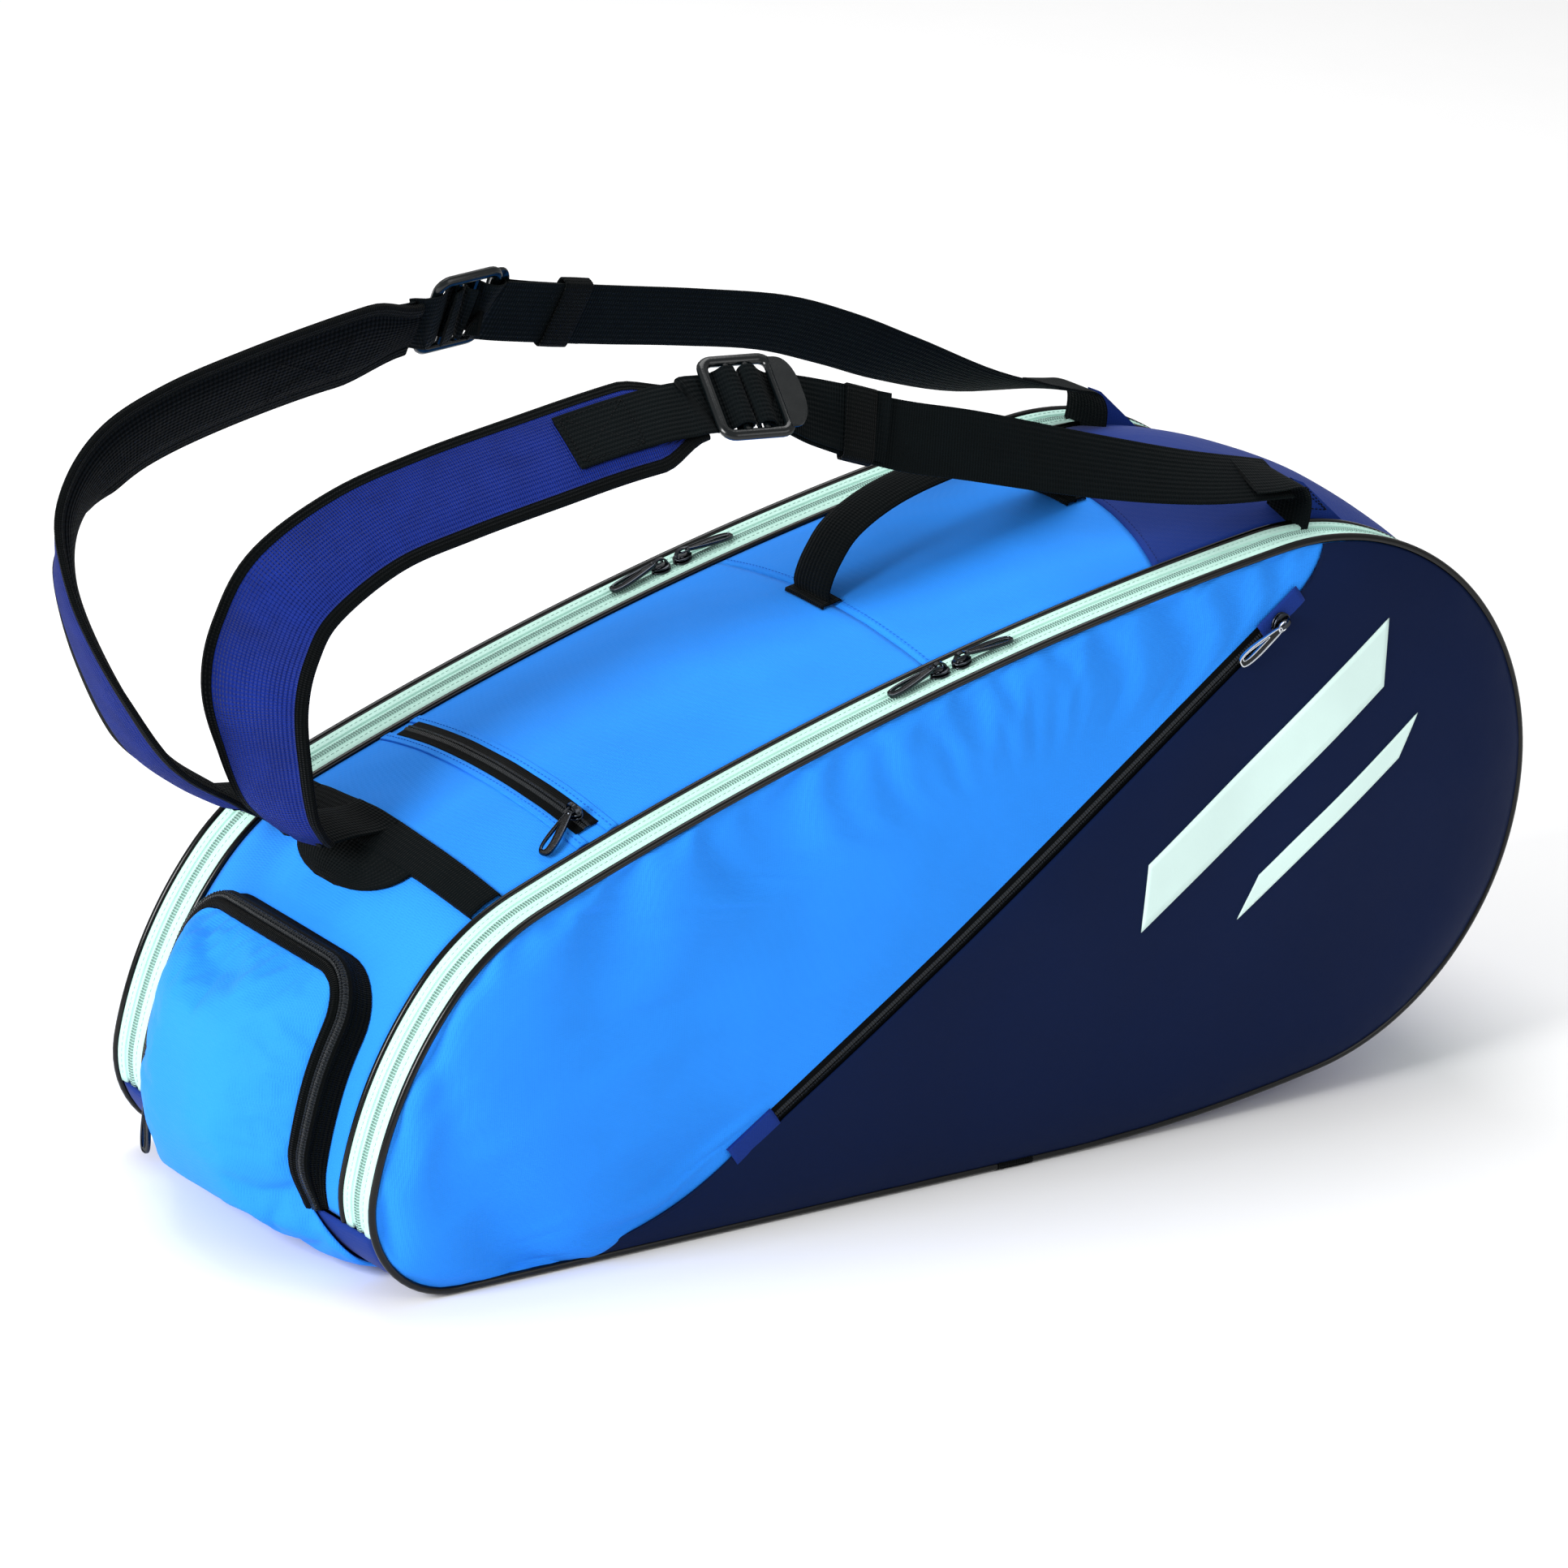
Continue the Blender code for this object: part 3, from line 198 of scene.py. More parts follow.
BLUE = cloth("light_blue_polyester", "2A8AF2")
NAVY = cloth("navy_polyester", "18317A", roughness=0.6)
NAVY_PU = coated("navy_coated_fabric", "0A1839", roughness=0.5, specular=0.05)
MINT = webbing("mint_zip_tape", "BDE3D8", rib=0.0007, cross=0.0012, roughness=0.6, depth=0.00006, drift=0.03)
MINT_COIL = coil("mint_coil", "A9D5C9", roughness=0.45)
MINT_PRINT = coated("mint_trim", "D6F0EA", roughness=0.5, specular=0.2)
WEB = webbing("black_webbing", "04090B")
BINDING = webbing("black_binding", "030607", rib=0.0012, cross=0.0024, depth=0.0007)
PAD_BLUE = webbing("royal_blue_ribbed", "172D86", rib=0.0012, cross=0.0025, depth=0.0011, sheen=0.04)
AIR_MESH = mesh_cloth("black_air_mesh", "04080C")
PIPING = coated("black_piping", "020303", roughness=0.22, depth=0.0001, specular=0.22, coat=0.12)
ZIP_TAPE = webbing("black_zip_tape", "030506", rib=0.0007, cross=0.0011, depth=0.0001)
ZIP_COIL = coil("black_coil", "22262A", roughness=0.25)
METAL = plastic("gunmetal", "3A3D42", roughness=0.2, metallic=1.0)
SILVER = plastic("silver_plate", "C9CDD2", roughness=0.16, metallic=1.0)
DARK_METAL = plastic("dark_enamel", "0C0D10", roughness=0.25, metallic=0.2, specular=0.3)
BUCKLE = plastic("black_plastic", "050A0C", roughness=0.2, depth=0.00004, specular=0.4)
THREAD_BLACK = cloth("black_thread", "0A0C0E", pitch=0.0006)
THREAD_BLUE = cloth("blue_thread", "1D6BD0", pitch=0.0006)
THREAD_NAVY = cloth("navy_thread", "1A2A66", pitch=0.0006)
THREAD_MINT = cloth("mint_thread", "B4D6CC", pitch=0.0006)
LINING = cloth("grey_lining", "3C3E46", pitch=0.0016, roughness=0.8)
FLOOR = cloth("pale_floor", "FBFBFB", pitch=0.5, roughness=0.9, sheen=0.0, depth=0.00001, drift=0.004)


# ======== the side outline
BAG_WIDTH = 0.254
GROUND = 0.0031
ARCS = ((1.08, 10.0), (0.156, 178.2), (None, 13.2), (0.128, 29.8), (0.212, 29.4), (0.0536, 99.4))
PIPE_RADIUS, PIPE_OUT = 0.0022, 0.0005
BAND, CROWN = 0.029, 0.012


class Outline:
    """Tangent chain of one straight and six arcs, closed by its base length and top radius."""

    def __init__(self):
        headings = np.radians(np.cumsum([0.0] + [turn for _, turn in ARCS]))
        steps = [Vector((math.sin(b) - math.sin(a), math.cos(a) - math.cos(b)))
                 for a, b in zip(headings, headings[1:])]
        rest = Vector((0.0, 0.0))
        for (radius, _), step in zip(ARCS, steps):
            if radius:
                rest += step * radius
        top_radius = -rest.y / steps[2].y
        self.base = -rest.x - top_radius * steps[2].x
        self.pieces = [(0.0, self.base, Vector((0.0, 0.0)), 0.0, None)]
        s, place = self.base, Vector((self.base, 0.0))
        for (radius, turn), step, heading in zip(ARCS, steps, headings):
            radius = radius or top_radius
            length = radius * math.radians(turn)
            self.pieces.append((s, s + length, place.copy(), heading, radius))
            place += step * radius
            s += length
        self.total = s
        xs = [self.raw(k * s / 2000)[0].x for k in range(2000)]
        self.shift = -(min(xs) + max(xs)) / 2

    def raw(self, s):
        s = s % self.total
        for start, end, place, heading, radius in self.pieces:
            if s <= end:
                break
        if radius is None:
            return place + Vector((s - start, 0.0)), heading
        turned = heading + (s - start) / radius
        centre = place + radius * Vector((-math.sin(heading), math.cos(heading)))
        return centre + radius * Vector((math.sin(turned), -math.cos(turned))), turned

    def at(self, s, y=0.0, out=0.0):
        """Point at arc length s and the given Y, moved outward by out."""
        place, heading = self.raw(s)
        return Vector((place.x + self.shift + math.sin(heading) * out, y,
                       place.y + GROUND - math.cos(heading) * out))

    def normal(self, s):
        heading = self.raw(s)[1]
        return Vector((math.sin(heading), 0.0, -math.cos(heading)))

    def join(self, index, part=0.0):
        start, end = self.pieces[index][:2]
        return start + (end - start) * part

    def top_s(self, x):
        """Arc length of the point of the top at the given x."""
        low, high = self.join(2, 0.5), self.join(6)
        for _ in range(50):
            middle = (low + high) / 2
            low, high = (middle, high) if self.at(middle).x > x else (low, middle)
        return (low + high) / 2


SIDE = Outline()
ZIP_LEFT, ZIP_RIGHT = SIDE.join(6, 0.276), SIDE.join(2, 0.14)
EDGE_Y = BAG_WIDTH / 2
INNER_Y = EDGE_Y - BAND
CLOSE_Y = EDGE_Y - BAND / 2
GUSSET_Y = INNER_Y - PIPE_RADIUS
SEAM_X, YOKE_X, ACCESSORY_X, ANCHOR_X = -0.018, 0.142, -0.222, -0.29
S_SEAM, S_ACCESSORY, S_ANCHOR = (SIDE.top_s(x) for x in (SEAM_X, ACCESSORY_X, ANCHOR_X))


def span(a, b, count):
    return [a + (b - a) * k / (count - 1) for k in range(count)]


def turns(count):
    """Angles that divide a full turn evenly."""
    return [2 * math.pi * k / count for k in range(count)]


def ease(t):
    t = min(1.0, max(0.0, t))
    return t * t * (3 - 2 * t)


def bell(value, centre, width):
    return math.exp(-((value - centre) / width) ** 2)


# ======== mesh helpers
CLOTH_FRAMES = 20


def square_to(tangent, direction):
    """Unit vector along direction, made square to a unit tangent."""
    return (direction - tangent * direction.dot(tangent)).normalized()


def placed(origin, *axes):
    """Matrix that puts a piece at an origin with the given X, Y and Z axes."""
    return Matrix.Translation(Vector(origin)) @ Matrix(axes).transposed().to_4x4()


def to_mesh(name, work):
    mesh = bpy.data.meshes.new(name)
    work.to_mesh(mesh)
    work.free()
    return mesh


def skin_rings(work, rings, closed=False, caps=False, zones=None):
    """Quads between neighbouring rings, with flat ends where caps is set."""
    for n, (a, b) in enumerate(zip(rings, rings[1:] + (rings[:1] if closed else []))):
        for i in range(len(a)):
            j = (i + 1) % len(a)
            work.faces.new((a[i], a[j], b[j], b[i])).material_index = zones[n] if zones else 0
    if caps:
        work.faces.new(rings[0][::-1])
        work.faces.new(rings[-1])


def add_wall(piece, thick, offset):
    wall = piece.modifiers.new("wall", "SOLIDIFY")
    wall.thickness, wall.offset = thick, offset


def swell(piece, sewn, pressure, slack_share, cap, thick):
    """Cloth simulation of a panel sewn at some points: it fills out and puckers, then gets its wall."""
    scene = bpy.context.scene
    piece.vertex_groups.new(name="sewn").add(sewn, 1.0, "REPLACE")
    cloth_run = piece.modifiers.new("cloth", "CLOTH")
    settings = cloth_run.settings
    settings.quality, settings.mass = 8, 0.15
    settings.tension_stiffness = settings.compression_stiffness = 20.0
    settings.shear_stiffness, settings.bending_stiffness = 6.0, 0.3
    settings.use_pressure, settings.uniform_pressure_force = True, pressure
    settings.vertex_group_mass = "sewn"
    settings.shrink_min = -slack_share
    settings.effector_weights.gravity = 0.0
    cloth_run.point_cache.frame_start, cloth_run.point_cache.frame_end = 1, CLOTH_FRAMES
    for frame_number in range(1, CLOTH_FRAMES + 1):
        scene.frame_set(frame_number)
    shaped = piece.evaluated_get(bpy.context.evaluated_depsgraph_get()).data
    places = [v.co.copy() for v in shaped.vertices]
    piece.modifiers.remove(cloth_run)
    for vertex, place in zip(piece.data.vertices, places):
        step = place - vertex.co
        vertex.co += step * min(1.0, cap / max(step.length, 1e-9))
    scene.frame_set(1)
    smooth = piece.modifiers.new("smooth", "SUBSURF")
    smooth.levels = smooth.render_levels = 1
    add_wall(piece, thick, 0.0)


def finished(name, mesh, mats, body, replaces, thick=0.0, offset=-1.0, smooth=50.0):
    """Link a mesh as a piece that rides on a body and stands for CAD nodes."""
    for mat in mats if isinstance(mats, (list, tuple)) else [mats]:
        mesh.materials.append(mat)
    mesh.shade_smooth()
    mesh.set_sharp_from_angle(angle=math.radians(smooth))
    piece = bpy.data.objects.new(name, mesh)
    bpy.context.scene.collection.objects.link(piece)
    if thick:
        add_wall(piece, thick, offset)
    if body:
        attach(piece, body)
        if replaces:
            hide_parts(*([replaces] if isinstance(replaces, str) else replaces))
    return piece


def grid_mesh(name, rows, wrap_rows=False, wrap_columns=False, cap_zone=None, zones=None):
    """Mesh of a grid of points, with a map of metres along the rows and across them."""
    count, width = len(rows), len(rows[0])
    verts = [tuple(p) for row in rows for p in row]
    middle = width // 2
    along = [0.0]
    for a, b in zip(rows, rows[1:] + rows[:1]):
        along.append(along[-1] + (Vector(b[middle]) - Vector(a[middle])).length)
    across = [0.0]
    widest = rows[count // 2]
    for a, b in zip(widest, list(widest[1:]) + [widest[0]]):
        across.append(across[-1] + (Vector(b) - Vector(a)).length)
    faces, places, kinds = [], [], []
    for i in range(count if wrap_rows else count - 1):
        for j in range(width if wrap_columns else width - 1):
            ni, nj = (i + 1) % count, (j + 1) % width
            faces.append((i * width + j, i * width + nj, ni * width + nj, ni * width + j))
            places.append(((along[i], across[j]), (along[i], across[j + 1]),
                           (along[i + 1], across[j + 1]), (along[i + 1], across[j])))
            kinds.append(zones[j] if zones else 0)
    if cap_zone is not None:
        for i, order in ((0, range(width - 1, -1, -1)), (count - 1, range(width))):
            faces.append(tuple(i * width + j for j in order))
            places.append(tuple((along[i], across[j]) for j in order))
            kinds.append(cap_zone)
    mesh = bpy.data.meshes.new(name)
    mesh.from_pydata(verts, [], faces)
    layer = mesh.uv_layers.new(name="run")
    layer.data.foreach_set("uv", [c for face in places for corner in face for c in corner])
    mesh.polygons.foreach_set("material_index", kinds)
    mesh.update()
    return mesh


def sheet(name, rows, mats, body, slot, replaces=(), thick=0.0012, offset=-1.0, zones=None, **wraps):
    """Open skin of fabric with a real thickness."""
    mesh = grid_mesh(name, rows, zones=zones, **wraps)
    return finished(name, mesh, mats, body, replaces, thick, offset)


def solid(name, rows, mats, body, replaces=(), wrap_rows=False, zones=None, smooth=50.0, cap_zone=0):
    """Closed tube or bar skinned over closed rings."""
    mesh = grid_mesh(name, rows, wrap_rows, True, None if wrap_rows else cap_zone, zones)
    work = bmesh.new()
    work.from_mesh(mesh)
    bmesh.ops.recalc_face_normals(work, faces=work.faces)
    work.to_mesh(mesh)
    work.free()
    return finished(name, mesh, mats, body, replaces, smooth=smooth)


def frames_along(points):
    """Tangent at each point of a list."""
    last = len(points) - 1
    return [(points[min(last, k + 1)] - points[max(0, k - 1)]).normalized() for k in range(last + 1)]


def tube_rows(points, radius, sides=10, up=Vector((0, 1, 0)), closed=False):
    """Rings of a round tube along points, all turned the same way."""
    rows = []
    count = len(points)
    for k, p in enumerate(points):
        before = points[(k - 1) % count] if closed else points[max(0, k - 1)]
        after = points[(k + 1) % count] if closed else points[min(count - 1, k + 1)]
        tangent = (after - before).normalized()
        side = square_to(tangent, up)
        other = tangent.cross(side)
        rows.append([p + side * radius * math.cos(turn) + other * radius * math.sin(turn)
                     for turn in turns(sides)])
    return rows


def stitches(name, points, normals, mat, body, pitch=0.0032, length=0.0024, radius=0.00028, width=0.0):
    """A line of thread stitches laid along points, each a small rounded grain."""
    work = bmesh.new()
    carried = pitch / 2
    for a, b, up in zip(points, points[1:], normals):
        step = b - a
        if step.length < 1e-9:
            continue
        direction = step.normalized()
        while carried < step.length:
            side = direction.cross(up).normalized()
            centre = a + direction * carried
            turn = Matrix((direction, side, up)).transposed().to_4x4()
            shape = Matrix.Diagonal((length / 2, width or radius, radius, 1.0))
            bmesh.ops.create_icosphere(work, subdivisions=1, radius=1.0,
                                       matrix=Matrix.Translation(centre) @ turn @ shape)
            carried += pitch
        carried -= step.length
    finished(name, to_mesh(name, work), mat, body, ())


def smooth_path(points, parts):
    """Catmull-Rom curve through the points, parts steps in each span."""
    points = [Vector(p) for p in points]
    padded = [points[0] * 2 - points[1]] + points + [points[-1] * 2 - points[-2]]
    result = []
    for i in range(1, len(padded) - 2):
        p0, p1, p2, p3 = padded[i - 1:i + 3]
        for k in range(parts):
            t = k / parts
            result.append(0.5 * ((2 * p1) + (p2 - p0) * t + (2 * p0 - 5 * p1 + 4 * p2 - p3) * t * t
                                 + (3 * p1 - p0 - 3 * p2 + p3) * t ** 3))
    result.append(points[-1])
    return result


# ======== gusset surface
YOKE_BOW = 0.008                          # the yoke's edge bows towards the racket end at mid width
REAR_LEAN, FRONT_LEAN = 0.035, 0.01       # and runs this far towards the handle end at its two sides
ROOT_Y, ROOT_TENT = {"front": 0.012, "rear": 0.072}, 0.003


def crown_at(s, y):
    height = ease((SIDE.at(s).z - 0.03) / 0.12)
    return CROWN * height * (1.0 - (y / GUSSET_Y) ** 2)


def slack(s, y):
    """Soft unevenness of the gusset, none along its piped edges."""
    edge = 1.0 - (y / GUSSET_Y) ** 4
    p = SIDE.at(s, y)
    ripple = 0.0012 * noise.noise(Vector((p.x * 14, y * 10, p.z * 14)))
    ripple += 0.0005 * noise.noise(Vector((p.x * 45 + y * 30, y * 28, p.z * 40)))
    tent = sum(ROOT_TENT * bell(s, S_ANCHOR - 0.004, 0.018) * bell(y, root, 0.026)
               for root in ROOT_Y.values())
    seam = -0.0012 * bell(s, S_SEAM, 0.0035) - 0.001 * bell(s, S_ACCESSORY, 0.01)
    return edge * (ripple + tent + seam)


def gusset_at(s, y, lift=0.0):
    return SIDE.at(s, y, crown_at(s, y) + slack(s, y) + lift)


def gusset_normal(s, y):
    e = 0.002
    along = gusset_at(s + e, y) - gusset_at(s - e, y)
    across = gusset_at(s, y + e) - gusset_at(s, y - e)
    normal = along.cross(across).normalized()
    return normal if normal.dot(SIDE.normal(s)) > 0 else -normal


def yoke_s(y):
    """Arc length of the yoke's curved edge at a given Y."""
    outer = (y / GUSSET_Y) ** 2
    return SIDE.top_s(YOKE_X + YOKE_BOW * (1 - outer) - (REAR_LEAN if y > 0 else FRONT_LEAN) * outer)


def gusset_skin(name, start, end, mat, slot, replaces, rows, lift=0.0):
    """Fabric of the gusset between two edges, each a function of Y."""
    ys = span(-GUSSET_Y, GUSSET_Y, 41)
    edges = [(start(y), end(y)) for y in ys]
    grid = [[gusset_at(a + (b - a) * t, y, lift) for y, (a, b) in zip(ys, edges)] for t in span(0, 1, rows)]
    return sheet(name, grid, mat, "bag_shell", slot, replaces)


gusset_skin("racket_end_fabric", lambda y: ZIP_RIGHT, yoke_s, NAVY, "navy_polyester",
            "racket_end_gusset", 110, lift=0.0006)
gusset_skin("top_fabric_middle", yoke_s, lambda y: S_SEAM, BLUE, "light_blue_polyester",
            "top_gusset_middle", 46)
gusset_skin("top_fabric_front", lambda y: S_SEAM, lambda y: S_ANCHOR, BLUE, "light_blue_polyester",
            "top_gusset_front", 80)
gusset_skin("handle_end_fabric", lambda y: S_ANCHOR, lambda y: ZIP_LEFT, BLUE, "light_blue_polyester",
            "handle_end_gusset", 70)


def gusset_stitches(name, line, mat, lift=0.0007):
    """Stitches along (s, y) places on the gusset."""
    points = [gusset_at(s, y, lift) for s, y in line]
    stitches(name, points, [gusset_normal(s, y) for s, y in line], mat, "bag_shell")


reach = span(-GUSSET_Y + 0.002, GUSSET_Y - 0.002, 40)
gusset_stitches("seam_stitches", [(S_SEAM - 0.004, y) for y in reach], THREAD_BLUE)
gusset_stitches("yoke_stitches", [(yoke_s(y) - 0.004, y) for y in reach], THREAD_NAVY)

# ======== side panels
DIAGONAL_LOW, DIAGONAL_HIGH = Vector((-0.1461, 0.0, 0.051)), Vector((0.1971, 0.0, 0.296))
FOOT, HEAD = Vector((-0.2341, 0.0, 0.0085)), Vector((0.2214, 0.0, 0.3205))
ALONG = (DIAGONAL_HIGH - DIAGONAL_LOW).normalized()
ACROSS = Vector((ALONG.z, 0.0, -ALONG.x))
PANEL_CENTRE = Vector((0.04, 0.0, 0.16))
PANEL_BACK = 0.001                        # the panels' edges lie this far inside the bag's half width


def flat_points(points):
    return np.array([(p.x, p.z) for p in points])


def nearest(line, p):
    """Distance in the side view from a point to a line of flat points."""
    return float(np.min(np.hypot(line[:, 0] - p.x, line[:, 1] - p.z)))


RIM = flat_points([SIDE.at(SIDE.total * k / 700) for k in range(700)])


def panel_swell(p, side):
    """How far a side panel stands out of its piped edge at a point."""
    d = nearest(RIM, p)
    proud = 0.0058 * (1 - math.exp(-d / 0.016)) + 0.005 * ease(d / 0.15)
    proud += 0.0011 * noise.noise(Vector((p.x * 9, side * 3.0, p.z * 9))) * ease(d / 0.03)
    pucker = noise.noise(Vector((p.x * 42, side * 7.0, p.z * 42)))
    return proud + 0.0007 * pucker * math.exp(-d / 0.02) * ease(d / 0.004)


PANEL_RINGS = (0, .006, .014, .026, .042, .062, .088, .12, .16, .21, .27, .34, .42, .51, .6, .7, .8, .9, .985)
FREE_RINGS, RING = 12, 280                # rings out from the piping that may pucker, points in a ring


def side_panel(word, side):
    rows, sewn = [], []
    for i, t in enumerate(PANEL_RINGS):
        row = []
        for k in range(RING):
            p = SIDE.at(SIDE.total * k / RING, 0.0, -0.0012).lerp(PANEL_CENTRE, t)
            row.append((p.x, side * (EDGE_Y - PANEL_BACK + panel_swell(p, side)), p.z))
            under_pocket = side < 0 and (p - DIAGONAL_LOW).dot(ACROSS) > -0.012
            if i == 0 or i >= FREE_RINGS or under_pocket:
                sewn.append(i * RING + (k if side < 0 else RING - 1 - k))
        rows.append(row if side < 0 else row[::-1])
    mesh = grid_mesh(f"{word}_panel_fabric", rows, wrap_columns=True)
    work = bmesh.new()
    work.from_mesh(mesh)
    work.verts.ensure_lookup_table()
    inmost = (len(rows) - 1) * RING
    for k in range(RING // 2 - 1):
        work.faces.new([work.verts[inmost + n] for n in (k, k + 1, RING - 2 - k, RING - 1 - k)])
    bmesh.ops.recalc_face_normals(work, faces=work.faces)
    if sum(face.normal.y * face.calc_area() for face in work.faces) * side < 0:
        bmesh.ops.reverse_faces(work, faces=work.faces)
    work.to_mesh(mesh)
    work.free()
    panel = finished(f"{word}_panel_fabric", mesh, BLUE, f"{word}_cover",
                     f"{word}_side_panel")
    swell(panel, sewn, 1.5, 0.045, 0.0045, 0.0012)


side_panel("front", -1)
side_panel("rear", 1)

# -------- front pocket
ZIP_HALF = 0.0048


def curve_through(first, control, last, count):
    return [first * (1 - t) ** 2 + control * 2 * t * (1 - t) + last * t * t for t in span(0, 1, count)]


FOOT_CURVE = curve_through(FOOT, Vector((-0.185, 0.0, 0.018)), DIAGONAL_LOW, 24)
HEAD_CURVE = curve_through(DIAGONAL_HIGH, DIAGONAL_HIGH + ALONG * 0.014, HEAD, 12)
STRAIGHT = [DIAGONAL_LOW.lerp(DIAGONAL_HIGH, t) for t in span(0, 1, 90)]
DIAGONAL = FOOT_CURVE[:-1] + STRAIGHT + HEAD_CURVE[1:]
DIAGONAL_LINE = flat_points(DIAGONAL)


def pocket_edge_offset(p):
    """The pocket's edge stands off the diagonal along the zip and closes in past its ends."""
    low = ease(((p - DIAGONAL_LOW).dot(ALONG) + 0.004) / 0.018)
    high = ease(((DIAGONAL_HIGH - p).dot(ALONG) + 0.004) / 0.018)
    return -0.0012 + (ZIP_HALF + 0.0004) * min(low, high)


def front_face(p, lift=0.0):
    """Point of the blue front panel's outer face over (x, z)."""
    return Vector((p.x, -(EDGE_Y - PANEL_BACK + panel_swell(p, -1) + lift), p.z))


def pocket_face(p, lift=0.0):
    """Point of the coated pocket's outer face over (x, z)."""
    d, e = nearest(RIM, p), nearest(DIAGONAL_LINE, p)
    own = 0.0014 + 0.003 * (1 - math.exp(-e / 0.01)) * (1 - math.exp(-d / 0.018))
    own += 0.001 * noise.noise(Vector((p.x * 13, 5.0, p.z * 13))) * ease(min(d, e) / 0.04)
    return front_face(p, own + lift)


S_HEAD, S_FOOT = SIDE.top_s(HEAD.x), SIDE.total + (FOOT.x - SIDE.shift)
pocket_rows = []
for k, p in enumerate(DIAGONAL):
    share = ease(k / (len(DIAGONAL) - 1))
    rim_point = SIDE.at(S_FOOT - SIDE.total + (S_HEAD - S_FOOT + SIDE.total) * share, 0.0, -0.0016)
    near = p + ACROSS * pocket_edge_offset(p)
    columns = [0, .012, .03, .06] + span(0.1, 0.9, 28) + [.94, .97, .988, 1.0]
    pocket_rows.append([pocket_face(near.lerp(rim_point, t)) for t in columns])
sheet("front_pocket_fabric", pocket_rows, NAVY_PU, "front_cover", "navy_pu", "front_pocket_panel",
      thick=0.001, offset=0.0)


def strip_on_front(name, points, profile, mats, slot, replaces=(), zones=None):
    """Strip laid along points of the front, its profile (across, lift) in metres."""
    rows = []
    for p, tangent in zip(points, frames_along(points)):
        side = Vector((tangent.z, 0.0, -tangent.x))
        rows.append([front_face(p + side * across, lift) for across, lift in profile])
    sheet(name, rows, mats, "front_cover", slot, replaces, thick=0.0006, offset=0.0, zones=zones)


tape_profile = [(-ZIP_HALF - 0.002, -0.0004), (-ZIP_HALF, 0.0008), (-0.0022, 0.001), (-0.0016, 0.0016),
                (-0.0007, 0.0019), (-0.0001, 0.0013), (0.0001, 0.0013), (0.0007, 0.0019), (0.0016, 0.0016),
                (0.0022, 0.001), (ZIP_HALF, 0.001), (ZIP_HALF + 0.002, 0.0006)]
COIL_ZONES = [0] * 2 + [1] * 7 + [0] * 2  # by strip of a zip's profile: 0 tape, 1 coil
strip_on_front("pocket_zip_fabric", STRAIGHT, tape_profile, [ZIP_TAPE, ZIP_COIL], "black_zip",
               "pocket_zip_tape", COIL_ZONES)
placket_profile = [(-0.0062, 0.0006), (-0.0056, 0.0022), (0.0, 0.0027), (0.0056, 0.0026), (0.0072, 0.002)]
for word, centre, direction in (("low", DIAGONAL_LOW, ALONG), ("high", DIAGONAL_HIGH, -ALONG)):
    patch = [centre + direction * t for t in span(-0.01, 0.022, 12)]
    strip_on_front(f"pocket_placket_{word}", patch, placket_profile, NAVY, "navy_polyester")


def face_stitches(name, points, offset, mat, face):
    """Stitches beside a line on the front."""
    moved = []
    for p, tangent in zip(points, frames_along(points)):
        moved.append(face(p + Vector((tangent.z, 0.0, -tangent.x)) * offset, 0.0002))
    stitches(name, moved, [FACING] * len(moved), mat, "front_cover")


face_stitches("pocket_stitches_upper", FOOT_CURVE[3:-1] + STRAIGHT + HEAD_CURVE[1:-1], -0.0075, THREAD_BLUE,
              front_face)
face_stitches("pocket_stitches_lower", STRAIGHT[4:-4], ZIP_HALF + 0.003, THREAD_NAVY, pocket_face)


def trim_bar(name, start, length, half_width, slant=0.012):
    """Flat printed bar that follows the pocket's face, its ends cut square to the ground."""
    rows = []
    for t in span(0, 1, 60):
        row = []
        for v in span(-1, 1, 9):
            p = start + ALONG * (length * t - slant * v) + ACROSS * half_width * v
            row.append(pocket_face(p, 0.0009))
        rows.append(row)
    sheet(name.replace("trim_bar", "print_bar"), rows, MINT_PRINT, "front_cover", "mint_zip_tape", name,
          thick=0.0005, offset=0.0)


trim_bar("trim_bar_long", Vector((0.104, 0.0, 0.148)), 0.196, 0.015)
trim_bar("trim_bar_short", Vector((0.176, 0.0, 0.136)), 0.13, 0.006)

# ======== pipings
for word, side in (("front", -1), ("rear", 1)):
    ring = [SIDE.at(SIDE.total * k / 300, side * EDGE_Y, PIPE_OUT) for k in range(300)]
    solid(f"{word}_outer_cord", tube_rows(ring, PIPE_RADIUS, closed=True), PIPING, f"{word}_cover",
          f"{word}_outer_piping", wrap_rows=True)
    open_ring = [SIDE.at(s, side * INNER_Y, PIPE_OUT) for s in span(ZIP_RIGHT, ZIP_LEFT, 240)]
    solid(f"{word}_inner_cord", tube_rows(open_ring, PIPE_RADIUS - 0.0002), PIPING, "bag_shell",
          f"{word}_inner_piping")
    sleeve_s = span(SIDE.join(0) + 0.026 - SIDE.shift, SIDE.join(0) + 0.049 - SIDE.shift, 9)
    sleeve = [SIDE.at(s, side * EDGE_Y, PIPE_OUT - 0.0002) for s in sleeve_s]
    solid(f"{word}_cord_sleeve", tube_rows(sleeve, PIPE_RADIUS + 0.0005), BINDING, f"{word}_cover")

